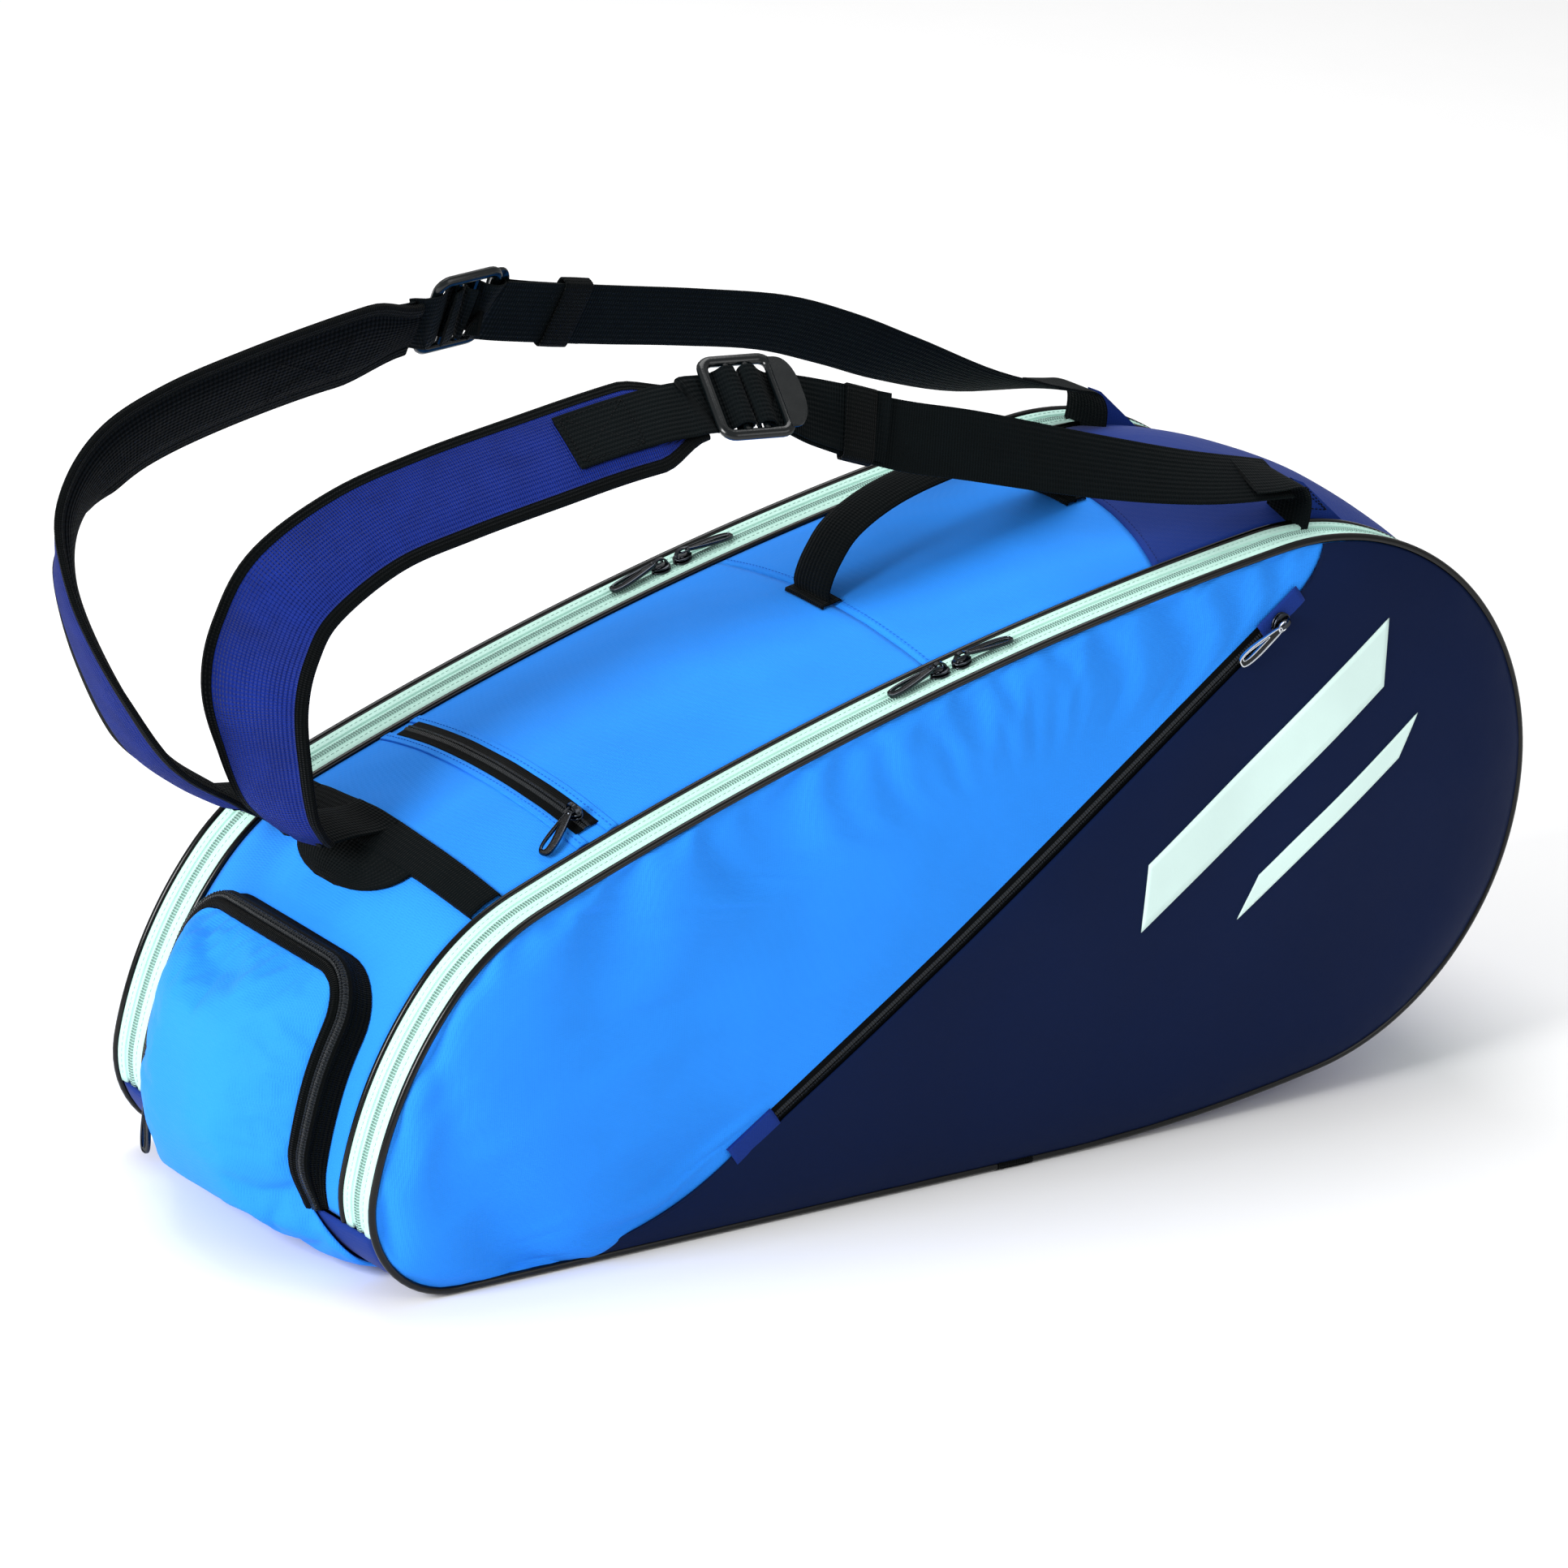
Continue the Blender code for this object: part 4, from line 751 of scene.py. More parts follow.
# ======== main zips
OUTER_BAND = [(-0.0012, 0.1258), (0.0006, 0.1246), (0.0012, 0.123), (0.0012, 0.1192), (0.0008, 0.118),
              (-0.0003, 0.1177), (-0.0002, 0.1152), (0.0003, 0.1146), (0.0009, 0.1139), (0.001, 0.1132),
              (0.0005, 0.1127), (-0.0012, 0.1126)]
BAND_ZONES = [0] * 7 + [1] * 4
BAND_STITCH_Y = 0.12
for word, side in (("front", -1), ("rear", 1)):
    for half, body in (("outer", f"{word}_cover"), ("inner", "bag_shell")):
        band = [(out, y if half == "outer" else 2 * CLOSE_Y - y) for out, y in OUTER_BAND]
        rows = [[SIDE.at(s, side * y, out) for out, y in band] for s in span(ZIP_RIGHT, ZIP_LEFT, 320)]
        sheet(f"{word}_{half}_band", rows, [MINT, MINT_COIL], body, "mint_zip_tape",
              f"{word}_zip_tape_{half}", thick=0.0008, offset=0.0, zones=BAND_ZONES)
        line_y = BAND_STITCH_Y if half == "outer" else 2 * CLOSE_Y - BAND_STITCH_Y
        run = span(ZIP_RIGHT + 0.004, ZIP_LEFT - 0.004, 200)
        stitches(f"{word}_{half}_band_stitches", [SIDE.at(s, side * line_y, 0.0018) for s in run],
                 [SIDE.normal(s) for s in run], THREAD_MINT, body)

# -------- base
BASE_HALF = EDGE_Y - 0.0026
base_rows = []
for s in span(ZIP_LEFT, SIDE.total + ZIP_RIGHT, 160):
    height = SIDE.at(s).z
    most = GROUND - 0.0004 if height < 0.006 else 1.0     # the flat base stays above the ground
    row = []
    for y in span(-BASE_HALF, BASE_HALF, 41):
        sag = 0.003 * (1 - (y / BASE_HALF) ** 2) * ease((height - 0.006) / 0.02)
        edge = bell(abs(y), BASE_HALF, 0.004) * 0.0012
        row.append(SIDE.at(s, y, min(sag + 0.0016 - edge, most)))
    base_rows.append(row)
sheet("base_fabric", base_rows, NAVY, "bag_shell", "navy_polyester", "bottom_gusset", thick=0.0012)
NODES["base_board"].data.materials[0] = LINING
NODES["centre_divider"].data.materials[0] = LINING


# ======== zip sliders and pulls
BAR_HEIGHT = 0.006                        # the pull's bar stands this far above the slider's origin


def frame_matrix(place, forward, up):
    x_axis = Vector(forward).normalized()
    z_axis = square_to(x_axis, Vector(up))
    return placed(place, x_axis, z_axis.cross(x_axis), z_axis)


def outline_prism(work, outline, low, high, bevel):
    """Closed prism of an (x, y) outline between two heights, its top edge rounded."""
    rings = []
    centre = sum((Vector(p) for p in outline), Vector((0, 0))) / len(outline)
    for height, inset in ((low, bevel), (low + bevel, 0.0), (high - bevel, 0.0),
                          (high - bevel * 0.3, bevel * 0.5), (high, bevel)):
        ring = []
        for p in outline:
            v = Vector(p) - centre
            q = centre + v * (1 - inset / max(v.length, 1e-6))
            ring.append(work.verts.new((q.x, q.y, height)))
        rings.append(ring)
    skin_rings(work, rings, caps=True)


SLIDER_HALF_LENGTH, SLIDER_HALF_WIDTH = 0.006, 0.0043


def slider_mesh():
    """Shield-shaped slider with two plates, a waist and a bridge over the pull's loop."""
    work = bmesh.new()
    shield = []
    for turn in turns(28):
        x, y = SLIDER_HALF_LENGTH * math.cos(turn), SLIDER_HALF_WIDTH * math.sin(turn)
        shield.append((x, y * (1.0 - 0.22 * (x / SLIDER_HALF_LENGTH)) * (1 - 0.1 * math.cos(2 * turn))))
    outline_prism(work, shield, 0.0, 0.001, 0.0003)
    outline_prism(work, shield, 0.0019, 0.003, 0.0004)
    outline_prism(work, [(x * 0.55, y * 0.42) for x, y in shield], 0.0008, 0.0022, 0.0002)
    foot = Vector((0, 0, 0.0028))
    rings = []
    for a in span(0.05, 3.09, 13):
        radial = Vector((math.cos(a), 0.0, math.sin(a)))
        rings.append([work.verts.new(foot + radial * (0.0044 + u * 0.0005) + Vector((0, v * 0.0012, 0)))
                      for u, v in ((-1, -1), (-1, 1), (1, 1), (1, -1))])
    skin_rings(work, rings, caps=True)
    bmesh.ops.recalc_face_normals(work, faces=work.faces)
    return metal_mesh("slider_detail", work, METAL)


def tab_ring(start, end, narrow, wide, shift, grow):
    """Tear-shaped outline from its narrow to its wide end, grown or drawn in."""
    ring = []
    for turn in turns(48):
        u = (1 - math.cos(turn)) / 2
        half = (narrow + (wide - narrow) * ease(u) + grow) * (math.sin(turn) ** 2) ** 0.28
        ring.append((start - grow + (end - start + 2 * grow) * u,
                     shift + math.copysign(half, math.pi - turn)))
    return ring


TAB_SHAPE = (0.0026, 0.0335, 0.0028, 0.005, 0.0)
SLOT_SHAPE = (0.012, 0.0305, 0.0003, 0.0017, -0.0013)
PULL_RINGS = ((TAB_SHAPE, 0.0, 0.0), (TAB_SHAPE, -0.0002, 0.0009), (TAB_SHAPE, -0.0008, 0.001),
              (TAB_SHAPE, -0.001, 0.0006), (SLOT_SHAPE, 0.0007, 0.0006), (SLOT_SHAPE, 0.0006, 0.001),
              (SLOT_SHAPE, 0.0001, 0.0009), (SLOT_SHAPE, 0.0, 0.0))


def pull_mesh(name, plate):
    """Plated pull: raised rim, sunk enamel face, a tear-shaped slot through it and a wire loop."""
    work = bmesh.new()
    for side in (1, -1):
        rings = [[work.verts.new((x, y, side * height)) for x, y in tab_ring(*shape, grow)]
                 for shape, grow, height in PULL_RINGS]
        skin_rings(work, rings, zones=(0, 0, 0, 1, 0, 0, 0))
    bmesh.ops.remove_doubles(work, verts=work.verts, dist=1e-6)
    wire = [Vector((0.0016 + 0.0032 * math.cos(turn), 0.0021 * math.sin(turn), 0.0006 * math.cos(turn)))
            for turn in turns(24)]
    loops = [[work.verts.new(p) for p in row] for row in
             tube_rows(wire, 0.00065, sides=6, up=UP, closed=True)]
    skin_rings(work, loops, closed=True)
    bmesh.ops.recalc_face_normals(work, faces=work.faces)
    return metal_mesh(name, work, plate)


def metal_mesh(name, work, plate):
    mesh = to_mesh(name, work)
    mesh.materials.append(plate)
    mesh.materials.append(DARK_METAL)
    mesh.shade_smooth()
    mesh.set_sharp_from_angle(angle=math.radians(40))
    return mesh


SLIDER_DETAIL = slider_mesh()
PULL_DETAIL, SILVER_PULL = pull_mesh("pull_detail", METAL), pull_mesh("silver_pull_detail", SILVER)


def zip_runner(name, place, forward, up, hang=None, droop=0.0, track=None):
    """Detailed slider and pull on a CAD slider's place; droop lowers the pull's tip, in degrees."""
    up = Vector(up).normalized()
    base = frame_matrix(place, forward, up)
    bar = base @ Vector((0.0, 0.0, BAR_HEIGHT))
    slider_place = frame_matrix(place, track, up) if track else base
    lowered = Matrix.Rotation(math.radians(droop), 4, "Y")
    pull_place = frame_matrix(bar, hang or base.to_3x3().col[0], up) @ lowered
    tab = SILVER_PULL if name == "pocket" else PULL_DETAIL
    for kind, mesh, matrix in (("slider", SLIDER_DETAIL, slider_place), ("pull", tab, pull_place)):
        piece = bpy.data.objects.new(f"{name}_{kind}_detail", mesh)
        piece.matrix_world = matrix
        bpy.context.scene.collection.objects.link(piece)
        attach(piece, f"{name}_{kind}")
        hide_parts(f"{name}_{kind}")


SLIDER_LIFT = 0.0011
for word, side, shift in (("front", -1, 0.0), ("rear", 1, -0.024)):
    for part, x_place, direction in (("left", -0.02, -1), ("right", -0.0056, 1)):
        s = SIDE.top_s(x_place + shift)
        up = SIDE.normal(s)
        forward = Vector((up.z, 0.0, -up.x)) * direction
        zip_runner(f"{word}_{part}", SIDE.at(s, side * CLOSE_Y, SLIDER_LIFT), forward, up, droop=7.0)
spot = DIAGONAL_HIGH - ALONG * 0.01
zip_runner("pocket", (spot.x, -EDGE_Y - 0.002 - panel_swell(spot, -1), spot.z), -ALONG, (0, -1, 0),
           droop=5.0)
ACCESSORY_Y, ACCESSORY_HALF = -0.076, 0.086    # the slider's place and the tape's half length
out = SIDE.normal(S_ACCESSORY)
lean = 2 * CROWN * ACCESSORY_Y / GUSSET_Y ** 2  # the crowned gusset falls away towards its edges
zip_runner("accessory", gusset_at(S_ACCESSORY, ACCESSORY_Y, 0.0032), (-0.55, -0.25, -0.3),
           (out.x, lean, out.z), droop=6.0, track=(0, -1, 0))


# ======== pocket zip and anchor on the gusset
def mirrored(profile):
    """Profile given up to its middle, made whole."""
    return profile + [(-across, lift) for across, lift in reversed(profile) if across]


def cross_sheet(name, s, profile, half, mats, slot, replaces=(), zones=None):
    """Strip laid across the gusset; its profile is (along, lift)."""
    rows = [[gusset_at(s + shift, y, lift) for shift, lift in profile] for y in span(-half, half, 60)]
    sheet(name, rows, mats, "bag_shell", slot, replaces, thick=0.0007, offset=0.0, zones=zones)


coil_profile = mirrored([(-0.0075, 0.0002), (-0.007, 0.0012), (-0.0024, 0.0014), (-0.0017, 0.002),
                         (-0.0008, 0.0024), (-0.0001, 0.0017)])
fold_profile = mirrored([(-0.0034, 0.0001), (-0.003, 0.0007), (0.0, 0.0009)])
cross_sheet("accessory_zip_fabric", S_ACCESSORY, coil_profile, ACCESSORY_HALF, [ZIP_TAPE, ZIP_COIL],
            "black_zip", "accessory_zip_tape", COIL_ZONES)
for word, shift in (("upper", -0.0098), ("lower", 0.0098)):
    cross_sheet(f"accessory_fold_{word}", S_ACCESSORY + shift, fold_profile, GUSSET_Y - 0.001, BLUE,
                "light_blue_polyester")
    gusset_stitches(f"accessory_stitches_{word}", [(S_ACCESSORY + shift * 1.02, y) for y in reach],
                    THREAD_BLUE, lift=0.0014)
cross_sheet("anchor_webbing", S_ANCHOR, mirrored([(-0.01, 0.0004), (-0.0096, 0.0022), (0.0, 0.0026)]),
            GUSSET_Y - 0.001, WEB, "black_webbing", "strap_anchor_tape")
# rounded webbing patch below the anchor, round its own middle
PATCH_HALF, PATCH_DEPTH, PATCH_Y, PATCH_LIFT = 0.05, 0.03, 0.004, 0.0022
patch_rows = []
for t in span(0, 1, 16):
    s, half = S_ANCHOR + 0.004 + PATCH_DEPTH * t, PATCH_HALF * math.sqrt(1 - (t * 0.985) ** 2.6)
    patch_rows.append([gusset_at(s, PATCH_Y + half * v, PATCH_LIFT * (1 - t ** 6)) for v in span(-1, 1, 31)])
sheet("anchor_patch", patch_rows, WEB, "bag_shell", "black_webbing")


# ======== shoe pocket
SHOE_HALF, SHOE_TOP, SHOE_LOW = 0.074, SIDE.join(5, 0.14), SIDE.join(6, 0.276) - 0.001
SHOE_CORNER, SHOE_RISE, LOW_RISE, COVER_DOME = 0.026, 0.0135, 0.0045, 0.02


def shoe_path():
    """Inverted U of (s, y) places with the direction outward of the pocket."""
    side_s = span(SHOE_LOW, SHOE_TOP + SHOE_CORNER, 26)
    bend = []
    for a in span(0, math.pi / 2, 10):
        bend.append((SHOE_TOP + SHOE_CORNER - SHOE_CORNER * math.sin(a),
                     SHOE_HALF - SHOE_CORNER + SHOE_CORNER * math.cos(a), -math.sin(a), math.cos(a)))
    path = [(s, SHOE_HALF, 0.0, 1.0) for s in side_s[:-1]] + bend[:-1]
    flat = SHOE_HALF - SHOE_CORNER
    path += [(SHOE_TOP, y, -1.0, 0.0) for y in span(flat, -flat, 22)[:-1]]
    path += [(s, -y, ds, -dy) for s, y, ds, dy in reversed(bend[1:])]
    return path + [(s, -SHOE_HALF, 0.0, -1.0) for s in reversed(side_s)]


U_PATH = shoe_path()


def shoe_edge(s):
    """Height of the pocket's zipped edge: full along the sides, low where it meets the base."""
    return LOW_RISE + (SHOE_RISE - LOW_RISE) * ease((SHOE_LOW - s) / 0.03)


def shoe_sheet(name, profile, mats, body, replaces=(), zones=None):
    """Sweep of (outward, share of edge height, extra lift) round the U."""
    rows = []
    for s, y, ds, dy in U_PATH:
        height = shoe_edge(s)
        rows.append([gusset_at(s + ds * away, y + dy * away, height * share + lift)
                     for away, share, lift in profile])
    sheet(name, rows, mats, body, "black_zip", replaces, thick=0.0008, offset=0.0, zones=zones)


shoe_sheet("shoe_wall", [(0.0085, 0.0, 0.0004), (0.007, 0.1, 0.0006), (0.0058, 0.45, 0.0),
                         (0.0056, 0.78, 0.0)], BINDING, "bag_shell")
shoe_sheet("shoe_zip_fabric", [(0.006, 0.74, 0.0), (0.0054, 0.86, 0.0), (0.0044, 0.93, 0.0),
                               (0.0038, 0.97, 0.0012), (0.0031, 1.0, 0.0012), (0.0026, 1.0, 0.0002),
                               (0.0024, 1.0, 0.0002), (0.0019, 1.0, 0.0014), (0.0012, 1.0, 0.0014),
                               (0.0006, 1.0, 0.0006), (-0.0004, 1.0, 0.0006)],
           [ZIP_TAPE, ZIP_COIL], "bag_shell", "shoe_pocket_zip", COIL_ZONES[:10])
shoe_sheet("shoe_binding", [(0.0002, 1.0, 0.0004), (-0.0004, 1.0, 0.002), (-0.0022, 1.0, 0.0028),
                            (-0.0042, 1.0, 0.0026), (-0.005, 1.0, 0.0012)], BINDING, "shoe_pocket_cover")


COVER_END = SIDE.total - 0.02             # the cover's fabric runs on under the end to the base
COVER_ROWS, COVER_COLUMNS = 60, 61
BOUND = 0.0046                            # width of the binding that the fabric's edge lies under


def shoe_half(s):
    """Half width of the cover's fabric: round corners at the top, flaring to the pipings at the foot."""
    depth = min(SHOE_CORNER, s - SHOE_TOP)
    inside = SHOE_HALF - SHOE_CORNER + math.sqrt(SHOE_CORNER ** 2 - (SHOE_CORNER - depth) ** 2) - BOUND
    flare = ease((s - SHOE_LOW + 0.012) / 0.04)
    return inside + (GUSSET_Y - 0.0025 - inside) * flare


def fullness(distance, reach_in):
    """Share of the pocket's full height at a distance in from its sewn edge."""
    return 1 - (1 - min(1.0, distance / reach_in)) ** 2.4


def shoe_cover():
    rows, sewn = [], []
    for i, s in enumerate(span(SHOE_TOP + BOUND, COVER_END, COVER_ROWS)):
        row = []
        below, half = s - SHOE_TOP - BOUND, shoe_half(s)
        edge = shoe_edge(min(s, SHOE_LOW)) * ease((COVER_END - s) / 0.03)
        for k, v in enumerate(span(-1, 1, COVER_COLUMNS)):
            y = half * v * (1.0 if i else 0.995)
            inside = half - abs(y)
            full = fullness(inside, 0.055) * fullness(below, 0.05) * ease((COVER_END - s) / 0.055)
            crease = 0.0016 * noise.noise(Vector((s * 34, y * 22, 2.0)))
            crease += 0.0042 * noise.noise(Vector((y * 85, s * 12, 5.0))) * math.exp(-below / 0.026)
            crease += 0.0034 * noise.noise(Vector((s * 60 + y * 25, y * 8, 9.0))) * math.exp(-inside / 0.02)
            row.append(gusset_at(s, y, edge + 0.0006 + (COVER_DOME + crease) * full))
            if i in (0, COVER_ROWS - 1) or k in (0, COVER_COLUMNS - 1):
                sewn.append(i * COVER_COLUMNS + k)
        rows.append(row)
    cover = sheet("shoe_cover_fabric", rows, BLUE, None, None, thick=0.0)
    swell(cover, sewn, 2.0, 0.06, 0.007, 0.001)
    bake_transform(cover)
    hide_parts("shoe_pocket_cover")


shoe_cover()
teeth_path = [gusset_at(s + ds * 0.0026, y + dy * 0.0026, shoe_edge(s) + 0.0006) for s, y, ds, dy in U_PATH]
stitches("shoe_zip_teeth", teeth_path, [gusset_normal(s, y) for s, y, _, _ in U_PATH], ZIP_COIL, "bag_shell",
         pitch=0.0024, length=0.0014, radius=0.001, width=0.0026)
spot, arc_centre = Vector((-0.38077, 0.076, 0.05123)), Vector((-0.2352, 0.076, 0.0645))
radial = (spot - arc_centre).normalized()
zip_runner("shoe", spot, (-radial.z, 0, radial.x), radial, hang=(0, 0, -1))


# ======== carry handle
CREST = [(0.0, 0.0), (0.05, 0.013), (0.14, 0.026), (0.3, 0.0345), (0.5, 0.037), (0.7, 0.0345),
         (0.86, 0.026), (0.95, 0.013), (1.0, 0.0)]
FOOT_LEFT_X, FOOT_RIGHT_X = -0.02, 0.14
handle_start = SIDE.at(SIDE.top_s(FOOT_LEFT_X), 0.0, CROWN + 0.008)
handle_end = SIDE.at(SIDE.top_s(FOOT_RIGHT_X), 0.0, CROWN + 0.008)
rise = Vector((-(handle_end - handle_start).z, 0.0, (handle_end - handle_start).x)).normalized()


def strap_rows(places, sides, section):
    """Rings of a strap: section(share) gives its (across, up) corners at each share of its length."""
    rows = []
    last = len(places) - 1
    for k, (place, tangent) in enumerate(zip(places, frames_along(places))):
        side = square_to(tangent, sides[k])
        up = side.cross(tangent)
        rows.append([place + side * a + up * b for a, b in section(k / last)])
    return rows


def band_section(half, thick, curl=0.0):
    """Rounded flat section, curled up or down at its edges."""
    return [(half * a, face * thick / 2 * (1 - 0.5 * abs(a) ** 8) + curl * a * a)
            for face in (1, -1) for a in span(-face, face, 11)]


crest = [handle_start + (handle_end - handle_start) * t + rise * lift for t, lift in CREST]
left_foot = SIDE.at(SIDE.top_s(FOOT_LEFT_X), 0.0, CROWN - 0.0005) + Vector((-0.0005, 0, 0))
right_foot = SIDE.at(SIDE.top_s(FOOT_RIGHT_X), 0.0, CROWN - 0.0005) + Vector((0.0005, 0, 0))
crest = smooth_path([left_foot] + crest + [right_foot], 8)
solid("handle_webbing", strap_rows(crest, [FACING] * len(crest),
                                   lambda t: band_section(0.016, 0.0024, -0.0022 * math.sin(math.pi * t))),
      WEB, "carry_handle", "carry_handle")
foot_profile = mirrored([(-0.006, 0.0003), (-0.0055, 0.0016), (0.0, 0.002)])
for word, x_foot in (("left", FOOT_LEFT_X), ("right", FOOT_RIGHT_X)):
    s = SIDE.top_s(x_foot)
    rows = [[gusset_at(s + shift, y, lift) for shift, lift in foot_profile]
            for y in span(-0.0175, 0.0175, 16)]
    sheet(f"handle_base_{word}", rows, WEB, "bag_shell", "black_webbing", f"handle_foot_{word}", thick=0.0008)

# ======== shoulder straps
FRONT_PAD = [((-0.331, 0.012, 0.2065), (0.21, -0.96, -0.1)), ((-0.347, 0.016, 0.225), (0.18, -0.98, -0.04)),
             ((-0.355, 0.021, 0.256), (0.29, -0.95, -0.06)), ((-0.358, 0.026, 0.287), (0.42, -0.9, -0.13)),
             ((-0.353, 0.025, 0.315), (0.42, -0.9, -0.14)), ((-0.338, 0.022, 0.343), (0.3, -0.88, -0.34)),
             ((-0.301, 0.014, 0.37), (0.16, -0.92, -0.37)), ((-0.258, 0.005, 0.386), (0.05, -0.9, -0.43)),
             ((-0.208, -0.007, 0.401), (-0.14, -0.86, -0.48)),
             ((-0.168, -0.016, 0.412), (-0.18, -0.85, -0.48)),
             ((-0.124, -0.025, 0.421), (-0.18, -0.84, -0.5))]
FRONT_LOCK = ((-0.096, -0.031, 0.427), (-0.16, -0.81, -0.56))
FRONT_WEB = [((-0.074, -0.036, 0.421), (-0.16, -0.75, -0.62)),
             ((-0.056, -0.04, 0.414), (-0.1, -0.62, -0.76)), ((-0.009, -0.05, 0.399), (0.0, -0.4, -0.9)),
             ((0.033, -0.06, 0.39), (0.0, -0.4, -0.9)), ((0.099, -0.074, 0.374), (0.0, -0.62, -0.78)),
             ((0.16, -0.0865, 0.362), (0.0, -0.82, -0.57)), ((0.216, -0.0932, 0.355), (0.0, -0.96, -0.28))]
REAR_PAD = [((-0.334, 0.084, 0.205), (0.13, -0.99, -0.04)), ((-0.359, 0.082, 0.219), (0.15, -0.99, 0.0)),
            ((-0.397, 0.072, 0.249), (0.02, -0.99, -0.03)), ((-0.424, 0.071, 0.292), (-0.1, -0.99, -0.09)),
            ((-0.444, 0.069, 0.336), (-0.28, -0.95, -0.13)), ((-0.448, 0.069, 0.362), (-0.5, -0.86, 0.05)),
            ((-0.443, 0.07, 0.388), (-0.68, -0.68, 0.29)), ((-0.425, 0.07, 0.409), (-0.55, -0.54, 0.64)),
            ((-0.393, 0.072, 0.424), (-0.33, -0.55, 0.77)), ((-0.345, 0.074, 0.436), (-0.2, -0.57, 0.8)),
            ((-0.284, 0.078, 0.446), (-0.14, -0.57, 0.81)), ((-0.232, 0.081, 0.451), (-0.12, -0.54, 0.83))]
REAR_LOCK = ((-0.203, 0.0835, 0.457), (-0.13, -0.48, 0.87))
REAR_WEB = [((-0.181, 0.084, 0.454), (0.15, -0.38, 0.91)), ((-0.16, 0.085, 0.45), (0.2, -0.35, 0.92)),
            ((-0.103, 0.088, 0.44), (0.18, -0.35, 0.92)), ((-0.049, 0.09, 0.431), (0.18, -0.38, 0.91)),
            ((0.007, 0.092, 0.42), (0.24, -0.42, 0.88)), ((0.053, 0.094, 0.404), (0.32, -0.48, 0.82)),
            ((0.094, 0.095, 0.387), (0.34, -0.6, 0.72)), ((0.153, 0.097, 0.365), (0.22, -0.85, 0.48)),
            ((0.219, 0.0935, 0.3525), (0.03, -0.98, 0.1))]
PAD_HALF, PAD_THICK, WEB_HALF, WEB_THICK = 0.033, 0.008, 0.019, 0.0018
SEAM_HALF = WEB_HALF - 0.003
PAD_ZONES = [1] * 3 + [0] * 14 + [1] * 6 + [2] * 12 + [1] * 3     # 0 ribbed face, 1 binding, 2 mesh back


def pad_body(share):
    """Thickness of the padding at a share of the pad's length."""
    return PAD_THICK * (0.45 + 0.55 * ease(min(share, 1 - share) / 0.05))


def pad_section(share):
    """Padded strap: crowned ribbed face, flat mesh back, bound edges, rounded ends."""
    end = 0.78 + 0.22 * ease(share / 0.06) - 0.4 * ease((share - 0.93) / 0.07)
    half = PAD_HALF * end
    body = pad_body(share)
    inner = half - 0.0074
    ring = [(-half, 0.0), (-half + 0.0004, 0.0013), (-half + 0.002, 0.002), (-inner, 0.0017)]
    ring += [(inner * a, 0.0012 + (body / 2) * (1 - abs(a) ** 3.2)) for a in span(-0.96, 0.96, 13)]
    ring += [(inner, 0.0017), (half - 0.002, 0.002), (half - 0.0004, 0.0013), (half, 0.0),
             (half - 0.0004, -0.0013), (half - 0.002, -0.002), (inner, -0.0017)]
    ring += [(inner * a, -0.001 - (body / 2) * (1 - abs(a) ** 4)) for a in span(0.96, -0.96, 11)]
    ring += [(-inner, -0.0017), (-half + 0.002, -0.002), (-half + 0.0004, -0.0013)]
    return ring


LOCK_BAR = 0.0055                         # the two webbing bars stand this far from the lock's middle


def lock_frame(spot, ahead, width_direction):
    x_axis = Vector(ahead).normalized()
    across = square_to(x_axis, Vector(width_direction))
    return placed(spot, x_axis, across, x_axis.cross(across))


def ladder_lock_mesh(name, matrix):
    """Moulded lock: rounded outer frame, two cross bars and a grip lip."""
    work = bmesh.new()
    half_l, half_w, corner = 0.019, 0.0245, 0.006
    path = []
    for x_sign, y_sign, start in ((1, 1, 0.0), (-1, 1, 0.5), (-1, -1, 1.0), (1, -1, 1.5)):
        for a in span(math.pi * start, math.pi * (start + 0.5), 7):
            path.append(Vector((x_sign * (half_l - corner) + corner * math.cos(a),
                                y_sign * (half_w - corner) + corner * math.sin(a), 0.0)))
    rings = []
    for k, p in enumerate(path):
        tangent = (path[(k + 1) % len(path)] - path[k - 1]).normalized()
        side = tangent.cross(UP)
        rings.append([work.verts.new(p + side * 0.0032 * math.cos(turn) + UP * 0.0027 * math.sin(turn))
                      for turn in turns(10)])
    skin_rings(work, rings, closed=True)
    for x in (-LOCK_BAR, LOCK_BAR):
        rings = [[work.verts.new((x + 0.0019 * math.cos(turn), y, 0.0017 * math.sin(turn)))
                  for turn in turns(8)] for y in (-half_w + 0.002, half_w - 0.002)]
        skin_rings(work, rings, caps=True)
    lip = [(half_l - 0.001 + 0.0135 * math.sin(a) ** 0.6, (half_w - 0.0008) * math.cos(a))
           for a in span(0, math.pi, 25)]
    outline_prism(work, lip, -0.003, -0.0008, 0.0006)
    bmesh.ops.recalc_face_normals(work, faces=work.faces)
    bmesh.ops.transform(work, matrix=matrix, verts=work.verts)
    return to_mesh(name, work)


def cross_stitch(name, corners, up, body):
    """Box and X of thread on a patch whose four corners are given in order."""
    a, b, c, d = corners
    for k, (p, q) in enumerate(((a, b), (b, c), (c, d), (d, a), (a, c), (b, d))):
        line = [p.lerp(q, t) for t in span(0, 1, 8)]
        stitches(f"{name}_{k}", line, [up] * 8, THREAD_BLACK, body, pitch=0.0028,
                 length=0.0022, radius=0.00035)


